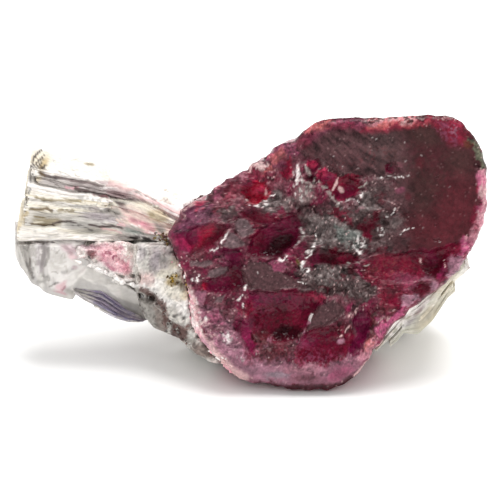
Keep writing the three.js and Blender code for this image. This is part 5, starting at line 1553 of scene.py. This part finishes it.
def matrix_points(points, normals, lift):
    """The matrix's surface lifted, and drawn back where the photograph shows less of it."""
    points = points + normals * lift[:, None]
    out = beyond(points, CUT_ALONG, CUT_OUT, CUT_LINE)
    out = np.where(points[:, 0] > 3, np.maximum(out + CUT_MARGIN, 0), 0)
    points[:, :2] -= out[:, None] * CUT_OUT
    # behind the blades and the shoulder its top lies back
    u, v = points[:, 0], points[:, 1]
    behind = smoothstep(0.9, 1.5, v) * smoothstep(5.2, 4.2, v)
    behind = behind * smoothstep(-24.2, -23.4, u) * smoothstep(-16.9, -17.7, u)
    points[:, 2] -= 2.4 * behind * smoothstep(-8.5, -5.5, points[:, 2])
    return grounded(points)


def albite():
    """The matrix, blocky with small grains and grit, and the sheets and grains that lie on it."""
    trees = [tree_of("albite_matrix"), tree_of("tourmaline_crystal")]
    points, normals, faces = remeshed("albite_matrix", ALBITE_VOXEL, matrix_lumps(trees[0]))

    # the lower left drawn in to its line, with some of its roundness kept
    out = beyond(points, TRIM_ALONG, TRIM_OUT, TRIM_LINE)
    out = np.where((points[:, 0] < -9) & (points[:, 1] < -3.5), np.maximum(out + TRIM_MARGIN, 0), 0)
    points[:, :2] -= (out - TRIM_MARGIN * (1 - np.exp(-out / TRIM_MARGIN)))[:, None] * TRIM_OUT

    # the right and the top are plain: no painted shade in their hollows, and less mottled
    right = smoothstep(0, 3, points[:, 0] + 0.4 * points[:, 1])
    top = smoothstep(0, 0.8, (points[:, :2] - [-21.6, 6.9]) @ [0.44, 0.9])
    plain = np.maximum(top * smoothstep(-8, -12, points[:, 0]), right)
    blocks, block_number = broken(points * 0.75, 201, 4)
    middling, _ = broken(points * 1.5, 204, 4)
    fine, fine_number = broken(points * 3.2, 202, 4)
    grit = fbm(points * 1.5, 4, 203)
    lift = 0.2 - 0.35 * blocks - 0.26 * middling - 0.12 * fine + 0.05 * grit
    # it closes up to the crystal
    near = [trees[1].find_nearest(Vector(p), NEAR)[3] for p in points]
    gap = np.array([np.inf if d is None else d for d in near])
    points = matrix_points(points, normals, lift + 0.35 * smoothstep(1.1, 0.3, gap))

    place = wander(points[:, :2], 0.25, 1.0, 210) + strewn(fine_number, 0.12)
    facing = smoothstep(-0.2, 0.3, normals[:, 2])[:, None]
    base = COLOURS["pearl"] * (1.05 + 0.12 * (block_number - 0.5) + 0.14 * grit)[:, None]
    colour = blend(base, painted(place, base, ALBITE_PAINT), facing)
    colour = colour * (1 + 0.4 * (fine_number - 0.5) * (1 - 0.7 * plain))[:, None]
    # painted shade in the hollows between facets, except on the plain right and top
    hollow_shade = smoothstep(0.35, 0.6, fine + 0.25 * grit) + 0.5 * smoothstep(0.35, 0.6, middling)
    colour = colour * (1 - 0.35 * hollow_shade * (1 - plain))[:, None]

    parts, shades = [(points, faces)], [colour]
    laid = [scattered(trees, **grains) for grains in STREWN]
    laid += [sheets(ARM_PAINT, **SHOULDER), sheets(EDGE_PAINT, **RIGHT_EDGE)]
    for more_parts, more_shades in laid:
        parts += more_parts
        shades += more_shades
    points, faces = merged(parts)
    return new_object("albite", grounded(points), faces, np.concatenate(shades))


def cleavelandite():
    """The arm of thin blades."""
    parts, colours = sheets(ARM_PAINT, **BLADES)
    return new_object("cleavelandite", *merged(parts), np.concatenate(colours))


# ---------------------------------------------------------------- quartz

QUARTZ_PAINT = [
    # the striped end
    patch("fog", [(-35.4, 1.4), (-31, 1.4), (-31.4, -1), (-32, -3.4), (-34, -2)], 0.6, 0.3),
    patch("stone", [(-34.4, 1.4), (-33.4, 1.4), (-33.1, -0.6), (-32.8, -2.6), (-33.4, -1.8),
        (-34.1, 0)], 0.7, 0.2),
    patch("heather", [(-32.7, 1.4), (-31.2, 1.4), (-31.3, 0), (-31.9, -2), (-32.5, -2.2)], 0.6, 0.2),
    patch("smoke", [(-32, 1.3), (-31.4, 1.2), (-31.3, 0.2), (-31.9, -1.6), (-32.2, -1.2)], 0.6, 0.15),
    vein("smoke", [(-34.1, 1.2), (-33.8, -0.4), (-33.2, -2)], 0.2, 0.7, True),
    vein("umber", [(-33.3, 1.2), (-33.2, -0.6), (-32.9, -2.6)], 0.12, 0.6),
    vein("snow", [(-33.1, 1.1), (-32.95, 0), (-32.8, -2.2)], 0.22, 0.9),
    vein("snow", [(-32.6, 1.1), (-32.5, -0.2), (-32.55, -2.6)], 0.3, 0.9),
    vein("snow", [(-32.1, 0.4), (-32.1, -0.6)], 0.12, 0.8),
    vein("smoke", [(-31.2, 0.6), (-31.2, -0.4), (-31.6, -1.4)], 0.2, 0.7, True),
    patch("snow", [(-31.2, 1.2), (-30.2, 0.9), (-30, 0.5), (-31, 0.4)], 1, 0.15),
    vein("char", [(-31, 1.3), (-30.6, 1.2)], 0.12, 0.8),
    vein("stone", [(-30.9, 0.35), (-30.2, 0.3), (-29.8, -0.1)], 0.14, 0.7),
    # veils in the clear part
    oval("fog", -30.2, -0.9, 0.9, 1, 0, 0.5, 0.5),
    vein("stone", [(-30.6, -1.9), (-30, -2.1), (-29.3, -2)], 0.16, 0.6),
    vein("snow", [(-30.8, -0.6), (-30.1, -1.2), (-29.4, -1.4)], 0.2, 0.8),
    vein("fog", [(-29.6, 0.1), (-29.2, -1.2), (-29.2, -2)], 0.2, 0.7),
    oval("snow", -29.8, -2.6, 1.2, 0.4, 10, 0.9, 0.5),
    oval("snow", -28.6, -2.8, 0.6, 0.6, 0, 0.8, 0.5),
    patch("fog", [(-32, -2.6), (-31, -2.2), (-31, -3.4), (-31.8, -3.4)], 0.5, 0.3),
    patch("pink", [(-30.4, -3.4), (-29.8, -3.1), (-29.2, -3), (-29.4, -3.9), (-29.9, -4.3),
        (-30.5, -3.9)], 0.6, 0.25),
    vein("smoke", [(-31, -3.5), (-30.5, -3.3), (-30.1, -3.1)], 0.14, 0.8, True),
    vein("rose", [(-29.5, -3.1), (-29.5, -3.9), (-29.9, -4.3)], 0.12, 0.6),
    oval("pink", -29.9, -4.4, 0.7, 0.15, -20, 0.6, 0.5),
    oval("fog", -28.9, -4.3, 0.6, 0.3, -20, 0.7, 0.5),
    # pink under the blades
    oval("orchid", -28.9, 0.6, 0.9, 0.5, -20, 0.55, 0.6),
    oval("pink", -28.5, -0.4, 0.7, 0.3, -30, 0.5, 0.6),
    oval("mauve", -28.9, 0.1, 0.4, 0.15, -30, 0.5, 0.5),
    oval("orchid", -28.3, -1.6, 0.3, 0.25, 0, 0.5, 0.5),
    vein("heather", [(-28.6, -1.7), (-28.1, -1.7)], 0.12, 0.6),
    # the smooth grey facet, darker down to the right
    patch("milk", [(-28.3, -1.8), (-26.4, -1.6), (-24, -2.6), (-25, -4), (-28, -3.8)], 0.7, 0.3),
    patch("fog", [(-24.6, -2.6), (-23, -3), (-20.8, -4.4), (-20.4, -7), (-23.4, -5.6),
        (-24.8, -4.2)], 0.6, 0.6),
    patch("stone", [(-23.4, -3.6), (-22.4, -3.4), (-20.8, -4.6), (-20.4, -7.4), (-22.6, -6),
        (-23.8, -4.8)], 0.6, 0.6),
    oval("smoke", -21.8, -6.2, 1.4, 0.8, -25, 0.6, 0.6),
    vein("snow", RIDGE_LINE, 0.45, 0.9, True),
]

# Lumps that reach up to the underside of the blades: place and half sizes
QUARTZ_FILLING = [
    (-30.4, 0.9, -5.4, (1.6, 0.7, 1.2)),
    (-28.4, 0.9, -5.6, (1.8, 0.7, 1.2)),
]


def quartz():
    """Clear shards with broad facets, striped at the left end."""
    points, normals, faces = remeshed("quartz", QUARTZ_VOXEL, fillings(QUARTZ_FILLING, 940))
    on_end = smoothstep(-30.6, -31.6, points[:, 0])
    line = np.stack([points[:, 0] * 3.2 + 0.6 * points[:, 1], 0 * points[:, 0]], axis=-1)
    striae = noise(line, 401) + 0.5 * noise(line * 2.3, 402)
    depth, number = broken(points * 0.55, 403, 3)
    facet = 1 - smoothstep(-28.8, -27.6, points[:, 0] + 0.3 * points[:, 1])
    lift = 0.09 * striae * on_end + 0.04 - (0.05 + 0.16 * facet) * depth
    points = points + normals * lift[:, None]
    base = COLOURS["snow"] * (0.93 + 0.1 * number)[:, None]
    colours = painted(wander(points[:, :2], 0.2, 0.9, 404), base, QUARTZ_PAINT)
    return new_object("quartz_shards", grounded(points), faces, colours, smooth=True)


# ---------------------------------------------------------------- lepidolite

MICA_PAINT = [
    patch("heather", [(-26.8, -3.9), (-25.2, -3.9), (-20.2, -7.2), (-20.2, -7.7), (-23.6, -6.9),
        (-26.8, -4.6)], 0.5, 0.4),
    oval("violet", -24.4, -5.6, 2.2, 0.5, -38, 0.3, 0.6),
    patch("pearl", [(-28.9, -3.6), (-27, -4), (-26.2, -5), (-26.6, -6), (-29, -4.6)], 0.75, 0.5),
    vein("snow", [(-27.8, -5.1), (-26.2, -6.1), (-24.4, -7.1), (-23, -7.5)], 0.3, 0.7),
    vein("char", [(-28.4, -3.85), (-27.2, -4.1), (-26.2, -4.3)], 0.1, 0.7),
    vein("char", [(-28.2, -4.9), (-26.6, -5.8), (-25.2, -6.5)], 0.08, 0.6),
    vein("indigo", [(-28, -4.2), (-26.6, -4.7), (-25, -5.3), (-23.4, -6.4)], 0.09, 0.55),
    vein("indigo", [(-27.2, -4.9), (-25.8, -5.5), (-24.2, -6.5), (-22.6, -7.2)], 0.08, 0.6),
    vein("violet", [(-27.9, -4.6), (-26.4, -5.3), (-24.8, -6.4), (-23.6, -7)], 0.08, 0.6),
    vein("violet", [(-26.2, -4.2), (-24.8, -4.9), (-23, -6.2), (-21.6, -7.1)], 0.12, 0.6),
    vein("snow", [(-28.1, -4.4), (-27, -5), (-26, -5.7), (-24.6, -6.6)], 0.09, 0.6),
    vein("snow", [(-28, -5), (-26.6, -5.7), (-25.6, -6.2)], 0.1, 0.8),
    vein("pearl", [(-26.6, -4.3), (-25.4, -4.7), (-24.4, -5.5)], 0.08, 0.5),
    vein("iris", [(-25.2, -6.7), (-23.6, -7.3), (-22, -7.5)], 0.3, 0.7),
]


def lepidolite():
    """A sheaf of thin mica plates, seen edge-on."""
    parts, colours = sheets(MICA_PAINT, **MICA)
    points, faces = merged(parts)
    return new_object("lepidolite_plates", grounded(points), faces, np.concatenate(colours))


# ---------------------------------------------------------------- the pink tourmaline nest

PINK_PAINT = [
    oval("fog", -26.4, 1, 2, 0.4, 0, 0.5, 0.6),
    oval("orchid", -27.2, 0.9, 1.4, 0.4, -10, 0.6, 0.6),
    oval("pink", -24.6, 0.6, 1.8, 0.6, 10, 0.35, 0.6),
    oval("rose", -25.2, 0.8, 0.8, 0.35, 0, 0.45, 0.6),
    patch("brick", [(-27.2, 0.3), (-26.4, 0.5), (-25.8, 0.3), (-25.7, -0.2), (-26.2, -0.7),
        (-26.8, -0.3)], 0.85, 0.15),
    patch("pink", [(-25.8, 0), (-24.8, 0.4), (-23.6, 0.2), (-22, -0.6), (-22, -2), (-23.6, -2.3),
        (-24.8, -1.8)], 0.55, 0.4),
    oval("rose", -25, -1, 0.7, 0.6, -30, 0.5, 0.6),
    oval("wine", -24.6, 0.1, 0.35, 0.2, -20, 0.8, 0.4),
    sugar("wine", -24.2, -0.3, 0.9, 0.4, -15, 0.9, 0.5),
    oval("rose", -24.1, -1.6, 0.6, 0.3, -25, 0.6, 0.5),
    oval("rose", -23.1, 0.7, 0.4, 0.2, -40, 0.6, 0.5),
    oval("pink", -22.4, -1.5, 0.8, 0.6, 0, 0.7, 0.6),
    vein("milk", [(-23.6, 0.3), (-22.6, -0.6), (-22.2, -1.2)], 0.2, 0.7),
    sugar("rose", -23.6, -0.6, 1.6, 1, -25, 0.5, 0.5),
    sugar("snow", -23.7, 0.1, 0.3, 0.25, 0, 0.9, 0.5),
    vein("snow", RIDGE_LINE, 0.8, 0.9, True),
    oval("pearl", -21.2, -1.6, 0.9, 2.6, 0, 0.95, 0.4),
    oval("snow", -28, 0.2, 0.9, 0.9, 0, 0.6, 0.6),
    oval("fog", -22, 0.8, 0.8, 0.6, 0, 0.6, 0.6),
]

# Lumps that fill the hollow under the blades: place and half sizes
PINK_FILLING = [
    (-27.4, 0.7, -5.2, (1.3, 0.7, 1)),
    (-25.4, 0.7, -5, (1.8, 0.9, 1)),
    (-23, 0.7, -4.8, (1.9, 0.9, 1)),
    (-22.4, -0.8, -4.9, (1.2, 1.6, 1)),
    (-26.2, -0.7, -5, (1.6, 0.7, 1)),
    (-24.4, -1.7, -4.9, (1.5, 0.8, 1)),
    (-22.5, -2.3, -4.9, (1.2, 0.9, 1)),
    (-21.5, -1.2, -4.1, (0.75, 2.3, 1)),
    (-21.2, -3.2, -4, (0.7, 0.9, 1)),
    (-27.6, -0.3, -4.7, (1.2, 0.6, 1)),
    (-26, -1.3, -4.5, (1.3, 0.5, 1)),
    (-24.2, -2.2, -4.4, (1.3, 0.5, 1)),
    (-22.5, -3, -4.3, (1.1, 0.5, 1)),
]


def pink_nest():
    """Many small grains over the CAD's nest."""
    solids = fillings(PINK_FILLING, 960)
    points, normals, faces = remeshed("pink_tourmaline_nest", NEST_VOXEL, solids)
    depth, number = broken(points * 1.9, 801, 4)
    fine, _ = broken(points * 4.2, 802, 4)
    points = points + normals * (0.1 - 0.2 * depth - 0.08 * fine)[:, None]
    base = blend(COLOURS["milk"], COLOURS["blush"], number[:, None])
    colours = painted(wander(points[:, :2], 0.2, 1.2, 803), base, PINK_PAINT)
    return new_object("pink_grains", points, faces, colours)


# ---------------------------------------------------------------- materials


class Nodes:
    """A short way to write a material's nodes."""

    def __init__(self, name):
        self.material = bpy.data.materials.new(name)
        self.material.use_nodes = True
        self.tree = self.material.node_tree
        self.shader = self.tree.nodes["Principled BSDF"]

    def set(self, socket, value):
        if isinstance(value, bpy.types.NodeSocket):
            self.tree.links.new(value, socket)
        elif isinstance(value, tuple) and socket.type == "RGBA":
            socket.default_value = (*value, 1)
        else:
            socket.default_value = value

    def add(self, kind, inputs=None, **settings):
        node = self.tree.nodes.new(kind)
        for key, value in settings.items():
            setattr(node, key, value)
        for key, value in (inputs or {}).items():
            self.set(node.inputs[key], value)
        return node

    def attribute(self, name, output):
        return self.add("ShaderNodeAttribute", attribute_name=name).outputs[output]

    def place(self, stretch=(1, 1, 1)):
        """The place in the row's frame, in millimetres times a stretch."""
        where = self.add("ShaderNodeTexCoord").outputs["Object"]
        scale = [s / MM for s in stretch]
        return self.add("ShaderNodeMapping", {"Vector": where, "Scale": scale}).outputs["Vector"]

    def noise(self, scale, detail=4.0, rough=0.55, stretch=(1, 1, 1)):
        inputs = {"Vector": self.place(stretch), "Scale": scale, "Detail": detail, "Roughness": rough}
        return self.add("ShaderNodeTexNoise", inputs).outputs["Fac"]

    def cells(self, scale):
        inputs = {"Vector": self.place(), "Scale": scale}
        return self.add("ShaderNodeTexVoronoi", inputs).outputs["Distance"]

    def ramp(self, factor, stops):
        node = self.add("ShaderNodeValToRGB", {"Fac": factor})
        while len(node.color_ramp.elements) < len(stops):
            node.color_ramp.elements.new(0.5)
        for element, (position, colour) in zip(node.color_ramp.elements, stops):
            element.position = position
            element.color = (*colour, 1)
        return node.outputs["Color"]

    def mix(self, factor, a, b, mode="MIX"):
        node = self.add("ShaderNodeMix", data_type="RGBA", blend_type=mode)
        self.set(node.inputs[0], factor)
        self.set(node.inputs[6], a)
        self.set(node.inputs[7], b)
        return node.outputs[2]

    def math(self, operation, a, b=0.0, c=0.0, clamp=False):
        node = self.add("ShaderNodeMath", operation=operation, use_clamp=clamp)
        for socket, value in zip(node.inputs, (a, b, c)):
            self.set(socket, value)
        return node.outputs[0]

    def span(self, value, low, high, to_low=0.0, to_high=1.0):
        inputs = {"Value": value, "From Min": low, "From Max": high, "To Min": to_low, "To Max": to_high}
        node = self.add("ShaderNodeMapRange", inputs, interpolation_type="SMOOTHSTEP")
        return node.outputs["Result"]

    def uneven(self, scale, low, high, floor=0.3):
        """Noise spread between two numbers."""
        return self.span(self.noise(scale), floor, 0.7, low, high)

    def tinted(self, shade):
        """The stored tint times a shade."""
        grey = self.add("ShaderNodeCombineColor", {"Red": shade, "Green": shade, "Blue": shade}).outputs[0]
        return self.mix(1.0, self.attribute("tint", "Color"), grey, "MULTIPLY")

    def mottled(self, scale, low, high, stretch=(1, 1, 1)):
        """The stored tint, made lighter and darker by noise."""
        return self.tinted(self.span(self.noise(scale, 6.0, 0.6, stretch), 0.3, 0.7, low, high))

    def bump(self, height, strength, distance):
        inputs = {"Height": height, "Strength": strength, "Distance": distance * MM}
        self.set(self.shader.inputs["Normal"], self.add("ShaderNodeBump", inputs).outputs["Normal"])

    def finish(self, **values):
        for key, value in values.items():
            self.set(self.shader.inputs[key.replace("_", " ")], value)
        return self.material


def rubellite_material():
    """Grainy where the face is rough, glossier in its clear hollows and on the table."""
    m = Nodes("rubellite")
    grit, glass = m.attribute("grit", "Fac"), m.attribute("glass", "Fac")
    shade = m.span(m.noise(3.4, 6.0, 0.6), 0.3, 0.7, -0.34, 0.36)
    colour = m.tinted(m.math("MULTIPLY_ADD", shade, grit, 1.0))
    # painted glints: pale specks mixed into the colour, fewer where the ground is smooth
    glints = m.math("MULTIPLY", m.span(m.noise(9.0, 2.0), 0.74, 0.8, 0.0, 0.4), grit)
    colour = m.mix(glints, colour, GLINT)
    rough = m.math("MULTIPLY_ADD", glass, -0.2, m.uneven(2.5, 0.3, 0.5), clamp=True)
    m.bump(m.noise(6.0, 4.0, 0.6), 0.12, 0.05)
    return m.finish(
        Base_Color=colour,
        Roughness=rough,
        IOR=TOURMALINE_IOR,
        Specular_IOR_Level=0.12,
        Transmission_Weight=0.05,
    )


def albite_material():
    m = Nodes("albite")
    m.bump(m.math("ADD", m.noise(3.0, 6.0, 0.65), m.cells(4.0)), 0.4, 0.12)
    return m.finish(Base_Color=m.mottled(1.6, 0.86, 1.08), Roughness=m.uneven(2.0, 0.4, 0.65))


def cleavelandite_material():
    m = Nodes("cleavelandite")
    m.bump(m.noise(2.0, 5.0, 0.6, (0.6, 2.0, 8.0)), 0.35, 0.06)
    colour = m.mottled(1.0, 0.82, 1.12, (0.5, 3.0, 9.0))
    return m.finish(Base_Color=colour, Roughness=m.uneven(2.0, 0.3, 0.5))


def quartz_material():
    m = Nodes("quartz")
    m.bump(m.noise(2.0, 4.0), 0.2, 0.06)
    rough = m.uneven(1.5, 0.04, 0.22, 0.35)
    colour = m.mottled(0.9, 0.85, 1.05)
    return m.finish(Base_Color=colour, Roughness=rough, IOR=QUARTZ_IOR, Transmission_Weight=0.5)


def lepidolite_material():
    m = Nodes("lepidolite")
    m.bump(m.noise(4.0, 4.0, 0.6, (0.4, 1.0, 2.0)), 0.3, 0.05)
    colour = m.mottled(1.4, 0.85, 1.3, (0.6, 1.0, 2.0))
    return m.finish(Base_Color=colour, Roughness=m.uneven(3.0, 0.22, 0.42))


def pink_material():
    m = Nodes("pink_tourmaline")
    m.bump(m.noise(6.0, 4.0), 0.3, 0.05)
    rough = m.uneven(3.0, 0.15, 0.35)
    colour = m.mottled(3.0, 0.8, 1.15)
    return m.finish(Base_Color=colour, Roughness=rough, IOR=TOURMALINE_IOR, Transmission_Weight=0.15)


def floor_material():
    m = Nodes("floor")
    shade = m.ramp(m.noise(0.01), [(0.3, (0.9, 0.9, 0.89)), (0.7, (0.92, 0.92, 0.91))])
    return m.finish(Base_Color=shade, Roughness=0.7)


# ---------------------------------------------------------------- camera, light and floor


def pointed_from(way):
    """The turn of a camera or lamp whose back is towards a direction."""
    return Vector(way).to_track_quat("Z", "Y").to_euler()


def camera():
    data = bpy.data.cameras.new("camera")
    data.sensor_width = SENSOR
    data.lens = SENSOR * CAMERA_DISTANCE / VIEW_WIDTH
    data.clip_start = NEAREST
    obj = added("camera", data)
    back = Vector((0, -math.cos(LEAN), math.sin(LEAN)))
    obj.location = Vector(to_row(VIEW_CENTRE)) + back * CAMERA_DISTANCE * MM
    obj.rotation_euler = pointed_from(back)
    bpy.context.scene.camera = obj


def surroundings():
    """An even white room. Reflections see a dimmer one than the light that falls on the stones."""
    world = bpy.data.worlds.new("studio")
    bpy.context.scene.world = world
    world.use_nodes = True
    nodes, links = world.node_tree.nodes, world.node_tree.links
    background = nodes["Background"]
    background.inputs["Color"].default_value = (1.0, 1.0, 1.0, 1)
    strength = nodes.new("ShaderNodeMix")
    strength.inputs[2].default_value = AMBIENT
    strength.inputs[3].default_value = REFLECTED
    links.new(nodes.new("ShaderNodeLightPath").outputs["Is Glossy Ray"], strength.inputs[0])
    links.new(strength.outputs[0], background.inputs["Strength"])


def lamps():
    sun = bpy.data.lights.new("sun", "SUN")
    sun.energy = SUN
    sun.angle = SUN_WIDTH
    added("sun", sun).rotation_euler = pointed_from(SUN_FROM)
    fill = bpy.data.lights.new("fill", "AREA")
    fill.shape = "RECTANGLE"
    fill.size, fill.size_y = FILL_SIZE
    fill.energy = FILL_POWER
    lamp = added("fill", fill)
    lamp.location = FILL_PLACE
    lamp.rotation_euler = pointed_from(Vector(FILL_PLACE) - Vector(FILL_AIM))


def floor():
    bpy.ops.mesh.primitive_plane_add(size=FLOOR_SIZE, location=(0, 0, 0))
    plane = bpy.context.object
    plane.name = "floor"
    plane.data.materials.append(floor_material())


def dress(obj, node, material):
    """Gives a piece its material, puts it under the root body and hides the CAD node that it stands for."""
    obj.data.materials.append(material)
    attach(obj, "root")
    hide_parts(node)


bpy.context.scene.view_settings.view_transform = "Standard"
camera()
surroundings()
lamps()
floor()
dress(crystal(), "tourmaline_crystal", rubellite_material())
dress(albite(), "albite_matrix", albite_material())
dress(cleavelandite(), "cleavelandite_blades", cleavelandite_material())
dress(quartz(), "quartz", quartz_material())
dress(lepidolite(), "lepidolite_sheaf", lepidolite_material())
dress(pink_nest(), "pink_tourmaline_nest", pink_material())
